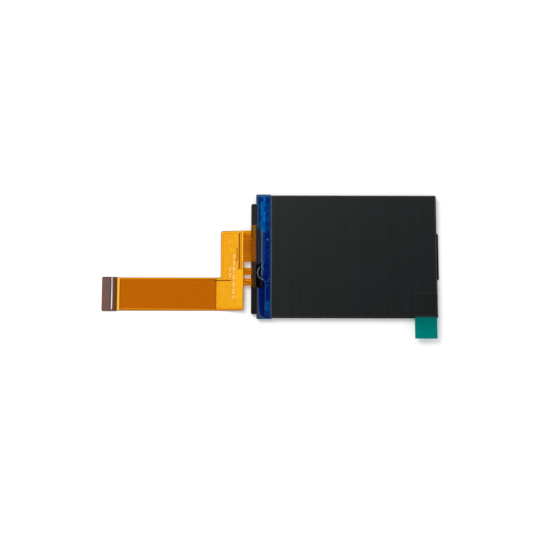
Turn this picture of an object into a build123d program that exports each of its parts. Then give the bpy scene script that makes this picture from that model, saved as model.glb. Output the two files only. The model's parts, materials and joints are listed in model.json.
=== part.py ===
from build123d import *
import math
import os

# A small colour display module: backlight, liquid crystal cell and flex circuit.
# Millimetres. Origin at the centre of the backlight's rear face. +X runs away from the flex tail,
# +Y along the display's short side and +Z out of the display, towards the viewer.

# Liquid crystal cell
ARRAY_LENGTH = 60.3
ARRAY_WIDTH = 41.4
ARRAY_THICKNESS = 0.5
ARRAY_CORNER = 0.35
LEDGE_DEPTH = 4.75
CELL_RIM_UPPER = 0.15
CELL_RIM_LOWER = 0.35
CELL_RIM_RIGHT = 0.25
CELL_GAP = 0.01
SEAL_SETBACK = 0.1
SEAL_WIDTH = 0.9
FILTER_THICKNESS = 0.5
POLARISER_INSET = 0.45
POLARISER_CORNER = 0.3
FRONT_POLARISER_THICKNESS = 0.2
REAR_POLARISER_THICKNESS = 0.13
PROTECTIVE_FILM_THICKNESS = 0.06
PROTECTIVE_FILM_OVERHANG = 0.1

# Pull tab of the protective film
PULL_TAB_WIDTH = 7.4
PULL_TAB_STUCK_LENGTH = 8.65
PULL_TAB_FREE_LENGTH = 6.75
PULL_TAB_THICKNESS = 0.06
PULL_TAB_SETBACK = 0.45
PULL_TAB_CORNER = 0.25

# Driver chip and the sealant over the ledge
CHIP_LENGTH = 17.0
CHIP_WIDTH = 1.0
CHIP_HEIGHT = 0.3
CHIP_SETBACK = 0.9
SEALANT_COVER = 0.09
SEALANT_SIDE_SETBACK = 0.1
SEALANT_END_LAP = 0.3
SEALANT_WRAP_DEPTH = 0.45
SEALANT_CORNER = 0.45
SEALANT_ROUND = 0.22

# Backlight stack
REFLECTOR_THICKNESS = 0.07
REFLECTOR_INSET = 0.3
GUIDE_THICKNESS = 0.6
DIFFUSER_THICKNESS = 0.05
PRISM_THICKNESS = 0.06
RIM_TAPE_THICKNESS = 0.05
RIM_TAPE_INSET = 0.1
RIM_TAPE_LAP = 0.9
GUIDE_CLEARANCE = 0.1
FILM_CLEARANCE = 0.2
EAR_WIDTH = 3.0
EAR_REACH = 0.55
EAR_PLACES = (-12.0, 17.0)

# Backlight frame
FRAME_INSET = 0.05
FRAME_CORNER = 0.5
FRAME_WALL = 1.3
LAMP_BAR_DEPTH = 3.2
SHELF_REACH = 1.8
SHELF_SETBACK_UPPER = 2.95
SHELF_SETBACK_LOWER = 1.35
SHELF_CORNER = 0.6
SHELF_EDGE_BREAK = 0.06
SHELF_CLEARANCE = 0.1
END_TAB_WIDTH = 15.5
END_TAB_REACH = 0.65
END_TAB_HEIGHT = 0.6
END_TAB_CORNER = 0.3

# Lamps and their flex
LAMP_COUNT = 4
LAMP_PITCH_SHARE = 0.208
LAMP_LENGTH = 3.8
LAMP_DEPTH = 1.0
LAMP_GAP = 0.05
LAMP_CLEARANCE = 0.1
LAMP_WINDOW_RIM = 0.1
LAMP_WINDOW_DEPTH = 0.15
LAMP_FLEX_THICKNESS = 0.1
LAMP_FLEX_BACK_MARGIN = 0.5
LAMP_FLEX_END_MARGIN = 1.2
LAMP_FLEX_GUIDE_LAP = 0.8
LAMP_FLEX_CLEARANCE = 0.1
TONGUE_CENTRE = 3.4
TONGUE_WIDTH = 5.0
TONGUE_LAP = 1.8
SOLDER_PITCH = 2.4
SOLDER_WIDTH = 1.5
SOLDER_LENGTH = 0.6
SOLDER_HEIGHT = 0.2
SOLDER_ROUND = 0.09

# Flex circuit
FLEX_THICKNESS = 0.1
BOND_OVERLAP = 1.95
BAR_REACH = 1.55
BAR_OVERHANG_UPPER = 2.05
BAR_OVERHANG_LOWER = 0.7
NECK_LENGTH = 2.75
BLOCK_LENGTH = 7.7
BLOCK_TOP = 8.68
BLOCK_CORNER = 0.65
LEG_WIDTHS = (10.6, 2.4, 2.4)
LEG_GAPS = (1.95, 1.2)
TAIL_CENTRE = -12.6
TAIL_WIDTH = 11.1
TAIL_LENGTH = 39.6
TAIL_FLOOR_CLEARANCE = 0.02
FLEX_CORNER = 0.35
FLEX_NOTCH_ROUND = 0.3
BEND_RADIUS = 15.0
BEND_ANGLE = 9.0

# Plug end of the flex
CONTACT_COUNT = 37
CONTACT_PITCH = 0.3
CONTACT_WIDTH = 0.2
CONTACT_LENGTH = 2.8
CONTACT_THICKNESS = 0.03
CONTACT_SETBACK = 0.2
STIFFENER_LENGTH = 5.0
STIFFENER_THICKNESS = 0.2

# Bond tape
BOND_TAPE_THICKNESS = 0.05
BOND_TAPE_REACH = 0.15
BOND_TAPE_LAP = 0.1
BOND_TAPE_SETBACK = 1.1
BOND_TAPE_CORNER = 0.35

# Chip capacitors on the underside of the block
CAPACITOR_COUNT = 4
CAPACITOR_PITCH = 2.2
CAPACITOR_FIRST = -8.6
CAPACITOR_SETBACK = 2.0
CAPACITOR_LENGTH = 1.0
CAPACITOR_WIDTH = 0.5
CAPACITOR_HEIGHT = 0.45
CAPACITOR_CAP_LENGTH = 0.22
CAPACITOR_CAP_STEP = 0.02
CAPACITOR_EDGE = 0.05

# Heights of the stack, from the rear face up
FRAME_BOTTOM = REFLECTOR_THICKNESS
GUIDE_TOP = FRAME_BOTTOM + GUIDE_THICKNESS
DIFFUSER_TOP = GUIDE_TOP + DIFFUSER_THICKNESS
LOWER_PRISM_TOP = DIFFUSER_TOP + PRISM_THICKNESS
FRAME_TOP = LOWER_PRISM_TOP + PRISM_THICKNESS
RIM_TAPE_TOP = FRAME_TOP + RIM_TAPE_THICKNESS
ARRAY_BOTTOM = RIM_TAPE_TOP + REAR_POLARISER_THICKNESS
ARRAY_TOP = ARRAY_BOTTOM + ARRAY_THICKNESS
FILTER_BOTTOM = ARRAY_TOP + CELL_GAP
FILTER_TOP = FILTER_BOTTOM + FILTER_THICKNESS
FRONT_POLARISER_TOP = FILTER_TOP + FRONT_POLARISER_THICKNESS
PROTECTIVE_FILM_TOP = FRONT_POLARISER_TOP + PROTECTIVE_FILM_THICKNESS
FLEX_TOP = ARRAY_TOP + FLEX_THICKNESS
TAIL_BOTTOM = TAIL_FLOOR_CLEARANCE + CONTACT_THICKNESS

# Places in plan
ARRAY_LEFT = -ARRAY_LENGTH / 2
ARRAY_RIGHT = ARRAY_LENGTH / 2
ARRAY_HALF = ARRAY_WIDTH / 2
FILTER_LEFT = ARRAY_LEFT + LEDGE_DEPTH
FILTER_RIGHT = ARRAY_RIGHT - CELL_RIM_RIGHT
FILTER_LOW = -ARRAY_HALF + CELL_RIM_LOWER
FILTER_HIGH = ARRAY_HALF - CELL_RIM_UPPER
FRAME_LEFT = ARRAY_LEFT + FRAME_INSET
FRAME_RIGHT = ARRAY_RIGHT - FRAME_INSET
FRAME_HALF = ARRAY_HALF - FRAME_INSET
SHELF_LEFT = ARRAY_LEFT - SHELF_REACH
GUIDE_LEFT = ARRAY_LEFT + LAMP_BAR_DEPTH
WINDOW_RIGHT = FRAME_RIGHT - FRAME_WALL
WINDOW_HALF = FRAME_HALF - FRAME_WALL
LAMP_FRONT = GUIDE_LEFT - LAMP_GAP
LAMP_BACK = LAMP_FRONT - LAMP_DEPTH
LAMP_PITCH = LAMP_PITCH_SHARE * ARRAY_WIDTH
LAMP_FLEX_LEFT = LAMP_BACK - LAMP_FLEX_BACK_MARGIN
LAMP_FLEX_RIGHT = GUIDE_LEFT + LAMP_FLEX_GUIDE_LAP
LAMP_FLEX_HALF = ((LAMP_COUNT - 1) * LAMP_PITCH + LAMP_LENGTH) / 2 + LAMP_FLEX_END_MARGIN
FILM_LEFT = LAMP_FLEX_RIGHT + LAMP_FLEX_CLEARANCE
CHIP_CENTRE = FILTER_LEFT - CHIP_SETBACK - CHIP_WIDTH / 2
BAR_LEFT = ARRAY_LEFT - BAR_REACH
BAR_RIGHT = ARRAY_LEFT + BOND_OVERLAP
BLOCK_RIGHT = BAR_LEFT - NECK_LENGTH
BLOCK_LEFT = BLOCK_RIGHT - BLOCK_LENGTH
TAIL_END = BLOCK_LEFT - TAIL_LENGTH
TAIL_LOW = TAIL_CENTRE - TAIL_WIDTH / 2
TAIL_HIGH = TAIL_CENTRE + TAIL_WIDTH / 2
PLUG_WIDTH = (CONTACT_COUNT + 1) * CONTACT_PITCH
NECK_LOW = BLOCK_TOP - sum(LEG_WIDTHS) - sum(LEG_GAPS)
BAR_LOW = NECK_LOW - BAR_OVERHANG_LOWER
BAR_HIGH = BLOCK_TOP + BAR_OVERHANG_UPPER
TAPE_LEFT = ARRAY_LEFT - BOND_TAPE_REACH
TAPE_RIGHT = BAR_RIGHT + BOND_TAPE_LAP
TAPE_HIGH = BAR_HIGH - BOND_TAPE_SETBACK

# The side profile of the flex: flat over the shelf, an arc down, a slope, an arc back, flat again
BEND = math.radians(BEND_ANGLE)
BEND_START = SHELF_LEFT
UPPER_ARC_RUN = BEND_RADIUS * math.sin(BEND)
LOWER_ARC_RUN = (BEND_RADIUS + FLEX_THICKNESS) * math.sin(BEND)
UPPER_ARC_DROP = BEND_RADIUS * (1 - math.cos(BEND))
LOWER_ARC_DROP = (BEND_RADIUS + FLEX_THICKNESS) * (1 - math.cos(BEND))
SLOPE_DROP = ARRAY_TOP - TAIL_BOTTOM - UPPER_ARC_DROP - LOWER_ARC_DROP
SLOPE_LENGTH = SLOPE_DROP / math.sin(BEND)
SLOPE_START = (BEND_START - UPPER_ARC_RUN, ARRAY_TOP - UPPER_ARC_DROP)
CUT_MARGIN = 1.0


def rectangle(left, right, low, high):
    """A rectangle in plan between two X and two Y values."""
    return Pos((left + right) / 2, (low + high) / 2) * Rectangle(right - left, high - low)


def rounded(left, right, low, high, radius):
    """A rectangle in plan with round corners."""
    return Pos((left + right) / 2, (low + high) / 2) * RectangleRounded(right - left, high - low, radius)


def slab(outline, bottom, top):
    """A plan outline raised between two heights."""
    return extrude(Pos(0, 0, bottom) * outline, amount=top - bottom)


def round_corners(outline, corners, radius):
    """Rounds the corners of a plan outline that lie nearest to the given points."""
    for corner in corners:
        vertex = outline.vertices().sort_by_distance(corner)[0]
        outline = fillet(vertex, radius)
    return outline


def spaced(count, pitch):
    """Places along a row that is centred on zero."""
    return [(i - (count - 1) / 2) * pitch for i in range(count)]


def eared_outline(left, right, half, ear_width, ear_reach):
    """A sheet with locating ears on its two long sides."""
    outline = rectangle(left, right, -half, half)
    for place in EAR_PLACES:
        outline += Pos(place, 0) * Rectangle(ear_width, 2 * (half + ear_reach))
    return outline


def reflector_film():
    """The white film that closes the rear of the backlight."""
    outline = rounded(
        FRAME_LEFT + REFLECTOR_INSET,
        FRAME_RIGHT - REFLECTOR_INSET,
        -FRAME_HALF + REFLECTOR_INSET,
        FRAME_HALF - REFLECTOR_INSET,
        FRAME_CORNER,
    )
    return slab(outline, 0, REFLECTOR_THICKNESS)


def light_guide():
    """The clear plate that spreads the lamps' light, held by its ears."""
    outline = eared_outline(
        GUIDE_LEFT,
        WINDOW_RIGHT - GUIDE_CLEARANCE,
        WINDOW_HALF - GUIDE_CLEARANCE,
        EAR_WIDTH,
        EAR_REACH,
    )
    return slab(outline, FRAME_BOTTOM, GUIDE_TOP)


def optical_film(bottom, top):
    """A diffuser or prism film on the light guide, beside the lamp flex."""
    outline = eared_outline(
        FILM_LEFT,
        WINDOW_RIGHT - FILM_CLEARANCE,
        WINDOW_HALF - FILM_CLEARANCE,
        EAR_WIDTH - FILM_CLEARANCE,
        EAR_REACH,
    )
    return slab(outline, bottom, top)


def backlight_frame():
    """The black moulding round the backlight, with the shelf that carries the flex."""
    ring = rounded(FRAME_LEFT, FRAME_RIGHT, -FRAME_HALF, FRAME_HALF, FRAME_CORNER)
    window = eared_outline(
        GUIDE_LEFT - GUIDE_CLEARANCE,
        WINDOW_RIGHT,
        WINDOW_HALF,
        EAR_WIDTH + 2 * GUIDE_CLEARANCE,
        EAR_REACH,
    )
    shelf_low = -ARRAY_HALF + SHELF_SETBACK_LOWER
    shelf_high = ARRAY_HALF - SHELF_SETBACK_UPPER
    shelf_foot = rounded(SHELF_LEFT, LAMP_BACK, shelf_low, shelf_high, SHELF_CORNER)
    end_tab = rounded(
        WINDOW_RIGHT + END_TAB_CORNER,
        ARRAY_RIGHT + END_TAB_REACH,
        -END_TAB_WIDTH / 2,
        END_TAB_WIDTH / 2,
        END_TAB_CORNER,
    )
    lip = shelf_foot - rectangle(ARRAY_LEFT - SHELF_CLEARANCE, LAMP_BACK, shelf_low, shelf_high)
    lip_block = slab(lip, FRAME_TOP, ARRAY_TOP)
    outer_edges = lip_block.edges().group_by(Axis.Z)[-1].sort_by(Axis.X)[:-1]
    lip_block = chamfer(outer_edges, SHELF_EDGE_BREAK)
    frame = slab(ring + shelf_foot, FRAME_BOTTOM, FRAME_TOP) - slab(window, FRAME_BOTTOM, FRAME_TOP)
    frame += lip_block + slab(end_tab, FRAME_BOTTOM, FRAME_BOTTOM + END_TAB_HEIGHT)
    return frame - lamp_pockets() - lamp_flex_recess()


def lamp_pockets():
    """The room that the lamps take out of the frame, open towards the light guide."""
    pocket = rectangle(
        LAMP_BACK - LAMP_CLEARANCE,
        GUIDE_LEFT,
        -LAMP_LENGTH / 2 - LAMP_CLEARANCE,
        LAMP_LENGTH / 2 + LAMP_CLEARANCE,
    )
    pockets = [Pos(0, y) * pocket for y in spaced(LAMP_COUNT, LAMP_PITCH)]
    return slab(Sketch() + pockets, FRAME_BOTTOM, FRAME_TOP)


def lamp_flex_recess():
    """The seat of the lamp flex in the frame, and the slot by which its tongue leaves."""
    strip = rectangle(
        LAMP_FLEX_LEFT - LAMP_FLEX_CLEARANCE,
        LAMP_FLEX_RIGHT,
        -LAMP_FLEX_HALF - LAMP_FLEX_CLEARANCE,
        LAMP_FLEX_HALF + LAMP_FLEX_CLEARANCE,
    )
    slot = rectangle(
        SHELF_LEFT - CUT_MARGIN,
        LAMP_FLEX_LEFT,
        TONGUE_CENTRE - TONGUE_WIDTH / 2 - LAMP_FLEX_CLEARANCE,
        TONGUE_CENTRE + TONGUE_WIDTH / 2 + LAMP_FLEX_CLEARANCE,
    )
    return slab(strip + slot, GUIDE_TOP, FRAME_TOP)


def side_lamp(y):
    """A side-emitting lamp with a shallow window towards the light guide."""
    body = slab(
        rectangle(LAMP_BACK, LAMP_FRONT, y - LAMP_LENGTH / 2, y + LAMP_LENGTH / 2),
        FRAME_BOTTOM,
        GUIDE_TOP,
    )
    window = slab(
        rectangle(
            LAMP_FRONT - LAMP_WINDOW_DEPTH,
            LAMP_FRONT,
            y - LAMP_LENGTH / 2 + LAMP_WINDOW_RIM,
            y + LAMP_LENGTH / 2 - LAMP_WINDOW_RIM,
        ),
        FRAME_BOTTOM + LAMP_WINDOW_RIM,
        GUIDE_TOP - LAMP_WINDOW_RIM,
    )
    return body - window


def underside_of_flex(x):
    """Height and slope, in radians, of the flex circuit's underside at a place in X."""
    slope_end = SLOPE_START[0] - SLOPE_LENGTH * math.cos(BEND)
    tail_start = slope_end - LOWER_ARC_RUN
    if x >= BEND_START:
        return ARRAY_TOP, 0.0
    if x >= SLOPE_START[0]:
        angle = math.asin((BEND_START - x) / BEND_RADIUS)
        return ARRAY_TOP - BEND_RADIUS * (1 - math.cos(angle)), angle
    if x >= slope_end:
        return SLOPE_START[1] - (SLOPE_START[0] - x) * math.tan(BEND), BEND
    if x >= tail_start:
        radius = BEND_RADIUS + FLEX_THICKNESS
        angle = math.asin((x - tail_start) / radius)
        return TAIL_BOTTOM + radius * (1 - math.cos(angle)), angle
    return TAIL_BOTTOM, 0.0


def flex_edge(offset):
    """One side of the flex's profile, offset above its underside, in the X and Z plane."""
    level = Line((BAR_RIGHT, ARRAY_TOP + offset), (BEND_START, ARRAY_TOP + offset))
    down = JernArc(level @ 1, (-1, 0), BEND_RADIUS + offset, BEND_ANGLE)
    slope = Line(down @ 1, down @ 1 + (down % 1) * SLOPE_LENGTH)
    back = JernArc(slope @ 1, slope % 1, BEND_RADIUS + FLEX_THICKNESS - offset, -BEND_ANGLE)
    tail = Line(back @ 1, (TAIL_END, TAIL_BOTTOM + offset))
    return level + down + slope + back + tail


def across(profile, low, high):
    """A profile in the X and Z plane, drawn out between two Y values."""
    return extrude(Plane((0, high, 0), x_dir=(1, 0, 0), z_dir=(0, -1, 0)) * profile, amount=high - low)


def plug_outline():
    """Plan of the flex's plug end, with its leading corners rounded."""
    low = TAIL_CENTRE - PLUG_WIDTH / 2
    high = TAIL_CENTRE + PLUG_WIDTH / 2
    outline = rectangle(TAIL_END, TAIL_END + STIFFENER_LENGTH, low, high)
    return round_corners(outline, [(TAIL_END, low), (TAIL_END, high)], FLEX_CORNER)


def bond_bar_outline():
    """Plan of the strip that is bonded to the glass ledge."""
    return rounded(BAR_LEFT, BAR_RIGHT, BAR_LOW, BAR_HIGH, FLEX_CORNER)


def flex_outline():
    """Plan of the flex circuit: bond bar, three legs, L-shaped block, tail and plug end."""
    neck = rectangle(BLOCK_RIGHT, BAR_LEFT, NECK_LOW, BLOCK_TOP)
    block = rectangle(BLOCK_LEFT, BLOCK_RIGHT, TAIL_LOW, BLOCK_TOP)
    tail = rectangle(TAIL_END + STIFFENER_LENGTH, BLOCK_LEFT, TAIL_LOW, TAIL_HIGH)
    outline = bond_bar_outline() + neck + block + tail
    notches = [
        (BLOCK_LEFT, TAIL_HIGH),
        (BLOCK_RIGHT, NECK_LOW),
        (BAR_LEFT, NECK_LOW),
        (BAR_LEFT, BLOCK_TOP),
    ]
    outline = round_corners(outline, [(BLOCK_LEFT, BLOCK_TOP)], BLOCK_CORNER)
    outline = round_corners(outline, [(BLOCK_RIGHT, TAIL_LOW)], FLEX_CORNER)
    outline = round_corners(outline, notches, FLEX_NOTCH_ROUND)
    leg_top = BLOCK_TOP
    for leg, gap in zip(LEG_WIDTHS, LEG_GAPS):
        window_top = leg_top - leg
        outline -= rounded(BLOCK_RIGHT, BAR_LEFT, window_top - gap, window_top, FLEX_NOTCH_ROUND)
        leg_top = window_top - gap
    return outline + plug_outline()


def flex_circuit():
    """The film circuit: its plan outline cut from a ribbon with the bent side profile."""
    lower = flex_edge(0)
    upper = flex_edge(FLEX_THICKNESS)
    ends = Line(lower @ 0, upper @ 0) + Line(lower @ 1, upper @ 1)
    ribbon = across(make_face(lower + upper + ends), -ARRAY_WIDTH, ARRAY_WIDTH)
    return ribbon & slab(flex_outline(), 0, FILTER_TOP)


def flex_stiffener():
    """The plate on the plug end that gives the contacts their backing."""
    tail_top = TAIL_BOTTOM + FLEX_THICKNESS
    return slab(plug_outline(), tail_top, tail_top + STIFFENER_THICKNESS)


def contact_fingers():
    """The row of contacts on the underside of the plug end."""
    left = TAIL_END + CONTACT_SETBACK
    finger = rectangle(left, left + CONTACT_LENGTH, -CONTACT_WIDTH / 2, CONTACT_WIDTH / 2)
    places = spaced(CONTACT_COUNT, CONTACT_PITCH)
    fingers = [Pos(0, TAIL_CENTRE + y) * finger for y in places]
    return slab(Sketch() + fingers, TAIL_FLOOR_CLEARANCE, TAIL_BOTTOM)


def bond_tape_outline():
    """Plan of the black tape over the flex bond."""
    return rounded(TAPE_LEFT, TAPE_RIGHT, BAR_LOW, TAPE_HIGH, BOND_TAPE_CORNER)


def bond_tape():
    """The black tape over the flex bond."""
    return slab(bond_tape_outline(), FLEX_TOP, FLEX_TOP + BOND_TAPE_THICKNESS)


def tongue_bend():
    """Where the tongue's upper side turns to follow the slope, and its tangent length there."""
    top = GUIDE_TOP + LAMP_FLEX_THICKNESS
    corner = SLOPE_START[0] - (SLOPE_START[1] - top) / math.tan(BEND)
    tangent = (BEND_RADIUS + LAMP_FLEX_THICKNESS) * math.tan(BEND / 2)
    return corner, tangent


def tongue_edge(offset):
    """One side of the tongue's profile, offset above its underside, in the X and Z plane."""
    corner, tangent = tongue_bend()
    level = Line((LAMP_FLEX_LEFT, GUIDE_TOP + offset), (corner + tangent, GUIDE_TOP + offset))
    down = JernArc(level @ 1, (-1, 0), BEND_RADIUS + offset, BEND_ANGLE)
    slope = Line(down @ 1, down @ 1 + (down % 1) * TONGUE_LAP)
    return level + down + slope


def lamp_flex():
    """The lamps' own film strip, with a tongue that reaches the main flex's underside."""
    strip = slab(
        rectangle(LAMP_FLEX_LEFT, LAMP_FLEX_RIGHT, -LAMP_FLEX_HALF, LAMP_FLEX_HALF),
        GUIDE_TOP,
        GUIDE_TOP + LAMP_FLEX_THICKNESS,
    )
    lower = tongue_edge(0)
    upper = tongue_edge(LAMP_FLEX_THICKNESS)
    ends = Line(lower @ 0, upper @ 0) + Line(lower @ 1, upper @ 1)
    tongue = across(
        make_face(lower + upper + ends),
        TONGUE_CENTRE - TONGUE_WIDTH / 2,
        TONGUE_CENTRE + TONGUE_WIDTH / 2,
    )
    return strip + tongue


def lamp_solder():
    """The two solder joints at the tongue's end, on the main flex's underside."""
    upper = tongue_edge(LAMP_FLEX_THICKNESS)
    end = upper @ 1
    seat = Plane(
        (end.X, TONGUE_CENTRE, end.Y),
        x_dir=(-math.cos(BEND), 0, -math.sin(BEND)),
        z_dir=(math.sin(BEND), 0, -math.cos(BEND)),
    )
    joint = Box(SOLDER_LENGTH, SOLDER_WIDTH, SOLDER_HEIGHT, align=(Align.MIN, Align.CENTER, Align.MIN))
    joint = fillet(joint.faces().sort_by(Axis.Z)[-1].edges(), SOLDER_ROUND)
    return [seat * Pos(0, y) * joint for y in spaced(2, SOLDER_PITCH)]


def chip_capacitor(index):
    """A ceramic chip capacitor with metal ends, under the block and square to its slope."""
    x = BLOCK_RIGHT - CAPACITOR_SETBACK
    height, angle = underside_of_flex(x)
    y = CAPACITOR_FIRST - index * CAPACITOR_PITCH
    seat = Plane(
        (x, y, height),
        x_dir=(-math.cos(angle), 0, -math.sin(angle)),
        z_dir=(math.sin(angle), 0, -math.cos(angle)),
    )
    low = (Align.CENTER, Align.CENTER, Align.MIN)
    body = Pos(0, 0, CAPACITOR_CAP_STEP) * Box(
        CAPACITOR_WIDTH - 2 * CAPACITOR_CAP_STEP,
        CAPACITOR_LENGTH,
        CAPACITOR_HEIGHT - 2 * CAPACITOR_CAP_STEP,
        align=low,
    )
    cap = Box(CAPACITOR_WIDTH, CAPACITOR_CAP_LENGTH, CAPACITOR_HEIGHT, align=low)
    cap = fillet(cap.edges().filter_by(Axis.Y), CAPACITOR_EDGE)
    offset = (CAPACITOR_LENGTH - CAPACITOR_CAP_LENGTH) / 2
    return seat * (body + Pos(0, offset) * cap + Pos(0, -offset) * cap)


def rim_tape():
    """The black double-sided tape between the backlight and the cell."""
    outer = rounded(
        FRAME_LEFT + RIM_TAPE_INSET,
        FRAME_RIGHT - RIM_TAPE_INSET,
        -FRAME_HALF + RIM_TAPE_INSET,
        FRAME_HALF - RIM_TAPE_INSET,
        FRAME_CORNER,
    )
    inner = rectangle(
        FILM_LEFT + RIM_TAPE_LAP,
        WINDOW_RIGHT - FILM_CLEARANCE - RIM_TAPE_LAP,
        -WINDOW_HALF + FILM_CLEARANCE + RIM_TAPE_LAP,
        WINDOW_HALF - FILM_CLEARANCE - RIM_TAPE_LAP,
    )
    return slab(outer - inner, FRAME_TOP, RIM_TAPE_TOP)


def filter_outline(inset, corner):
    """Plan of the front glass, or of what covers it, set in from its edge."""
    return rounded(
        FILTER_LEFT + inset,
        FILTER_RIGHT - inset,
        FILTER_LOW + inset,
        FILTER_HIGH - inset,
        corner,
    )


def array_glass():
    """The rear glass, with the ledge that carries the chip and the flex."""
    outline = rectangle(ARRAY_LEFT, ARRAY_RIGHT, -ARRAY_HALF, ARRAY_HALF)
    outline = chamfer(outline.vertices(), ARRAY_CORNER)
    return slab(outline, ARRAY_BOTTOM, ARRAY_TOP)


def colour_filter_glass():
    """The front glass."""
    outline = rectangle(FILTER_LEFT, FILTER_RIGHT, FILTER_LOW, FILTER_HIGH)
    outline = chamfer(outline.vertices(), ARRAY_CORNER)
    return slab(outline, FILTER_BOTTOM, FILTER_TOP)


def seal_outline(inset):
    """Plan of the cell seal's outer or inner edge."""
    return filter_outline(SEAL_SETBACK + inset, FRAME_CORNER)


def cell_seal():
    """The glue line that closes the cell all round."""
    return slab(seal_outline(0) - seal_outline(SEAL_WIDTH), ARRAY_TOP, FILTER_BOTTOM)


def liquid_crystal():
    """The liquid crystal layer inside the cell seal."""
    return slab(seal_outline(SEAL_WIDTH), ARRAY_TOP, FILTER_BOTTOM)


def polariser(bottom, top):
    """A polarising film, set in from the front glass's edge."""
    return slab(filter_outline(POLARISER_INSET, POLARISER_CORNER), bottom, top)


def protective_film():
    """The peel-off film over the front polariser."""
    outline = filter_outline(POLARISER_INSET - PROTECTIVE_FILM_OVERHANG, POLARISER_CORNER)
    return slab(outline, FRONT_POLARISER_TOP, PROTECTIVE_FILM_TOP)


def pull_tab():
    """The coloured tab by which the protective film is peeled off."""
    right = ARRAY_RIGHT - PULL_TAB_SETBACK
    outline = rounded(
        right - PULL_TAB_WIDTH,
        right,
        -ARRAY_HALF - PULL_TAB_FREE_LENGTH,
        -ARRAY_HALF + PULL_TAB_STUCK_LENGTH,
        PULL_TAB_CORNER,
    )
    return slab(outline, PROTECTIVE_FILM_TOP, PROTECTIVE_FILM_TOP + PULL_TAB_THICKNESS)


def driver_chip():
    """The display driver, a bare chip bonded face down on the ledge."""
    outline = Pos(CHIP_CENTRE, 0) * Rectangle(CHIP_WIDTH, CHIP_LENGTH)
    return slab(outline, ARRAY_TOP, ARRAY_TOP + CHIP_HEIGHT)


def ledge_sealant():
    """The gel that covers the ledge and the chip, up to the flex bond, and wraps the ledge's ends."""
    left = ARRAY_LEFT + SEALANT_SIDE_SETBACK
    half = ARRAY_HALF + SEALANT_END_LAP
    wrap_bottom = ARRAY_TOP - SEALANT_WRAP_DEPTH
    outline = rectangle(left, FILTER_LEFT, -half, half)
    outline = round_corners(outline, [(left, -half), (left, half)], SEALANT_CORNER)
    bead = slab(outline, wrap_bottom, ARRAY_TOP + CHIP_HEIGHT + SEALANT_COVER)
    free_edges = bead.edges().group_by(Axis.Z)[-1].sort_by(Axis.X)[:-1]
    bead = fillet(free_edges, SEALANT_ROUND)
    bond = slab(bond_bar_outline() + bond_tape_outline(), wrap_bottom, FILTER_TOP)
    return bead - bond - array_glass() - driver_chip()


def build_parts():
    """Every sub-part by name."""
    parts = {
        "reflector_film": reflector_film(),
        "backlight_frame": backlight_frame(),
        "light_guide": light_guide(),
        "diffuser_film": optical_film(GUIDE_TOP, DIFFUSER_TOP),
        "prism_film_lower": optical_film(DIFFUSER_TOP, LOWER_PRISM_TOP),
        "prism_film_upper": optical_film(LOWER_PRISM_TOP, FRAME_TOP),
        "rim_tape": rim_tape(),
        "rear_polariser": polariser(RIM_TAPE_TOP, ARRAY_BOTTOM),
        "array_glass": array_glass(),
        "cell_seal": cell_seal(),
        "liquid_crystal": liquid_crystal(),
        "colour_filter_glass": colour_filter_glass(),
        "front_polariser": polariser(FILTER_TOP, FRONT_POLARISER_TOP),
        "protective_film": protective_film(),
        "pull_tab": pull_tab(),
        "driver_chip": driver_chip(),
        "ledge_sealant": ledge_sealant(),
        "flex_circuit": flex_circuit(),
        "flex_stiffener": flex_stiffener(),
        "contact_fingers": contact_fingers(),
        "bond_tape": bond_tape(),
        "lamp_flex": lamp_flex(),
        "lamp_solder": Compound(children=lamp_solder()),
    }
    for number, y in enumerate(spaced(LAMP_COUNT, LAMP_PITCH), start=1):
        parts[f"side_lamp_{number}"] = side_lamp(y)
    for index in range(CAPACITOR_COUNT):
        parts[f"chip_capacitor_{index + 1}"] = chip_capacitor(index)
    return parts


os.makedirs("parts", exist_ok=True)
for node, shape in build_parts().items():
    export_step(shape, f"parts/{node}.step")
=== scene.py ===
"""Looks of a small display module with a flex tail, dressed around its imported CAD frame.

Shapes are worked out in millimetres and turned into metres where a mesh is made.
"""
import json
import math

import bmesh
import bpy
from mathutils import Matrix, Vector, noise
from mathutils.bvhtree import BVHTree


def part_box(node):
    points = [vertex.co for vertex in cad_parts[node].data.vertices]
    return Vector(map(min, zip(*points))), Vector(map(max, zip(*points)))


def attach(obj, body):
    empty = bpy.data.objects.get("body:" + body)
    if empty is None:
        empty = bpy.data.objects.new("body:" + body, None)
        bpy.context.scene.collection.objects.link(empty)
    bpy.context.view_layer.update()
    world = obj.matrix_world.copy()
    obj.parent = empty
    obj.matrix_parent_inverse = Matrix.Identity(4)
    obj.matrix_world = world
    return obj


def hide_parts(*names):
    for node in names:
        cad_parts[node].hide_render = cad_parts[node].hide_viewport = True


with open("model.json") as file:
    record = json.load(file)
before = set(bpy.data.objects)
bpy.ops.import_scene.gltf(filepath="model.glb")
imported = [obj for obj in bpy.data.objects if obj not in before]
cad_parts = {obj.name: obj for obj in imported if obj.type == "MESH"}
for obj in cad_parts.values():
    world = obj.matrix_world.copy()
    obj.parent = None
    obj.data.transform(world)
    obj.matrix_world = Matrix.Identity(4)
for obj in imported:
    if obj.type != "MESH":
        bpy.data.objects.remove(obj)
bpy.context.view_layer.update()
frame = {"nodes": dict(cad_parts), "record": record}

# Units and the photograph's frame
MM = 0.001
PHOTO_SIZE = 533
SENSOR = 36.0

# Camera, fitted to the photograph: nearly overhead, leaning a little to the front
FOCAL_PIXELS = 1000.0
CAMERA_TILT = math.radians(7.35)
CAMERA_ROLL = math.radians(0.114)
CAMERA_TARGET = (-26.794, -3.267)
CAMERA_DISTANCE = 335.3
CLIP_NEAR = 0.01
CLIP_FAR = 20.0

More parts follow.
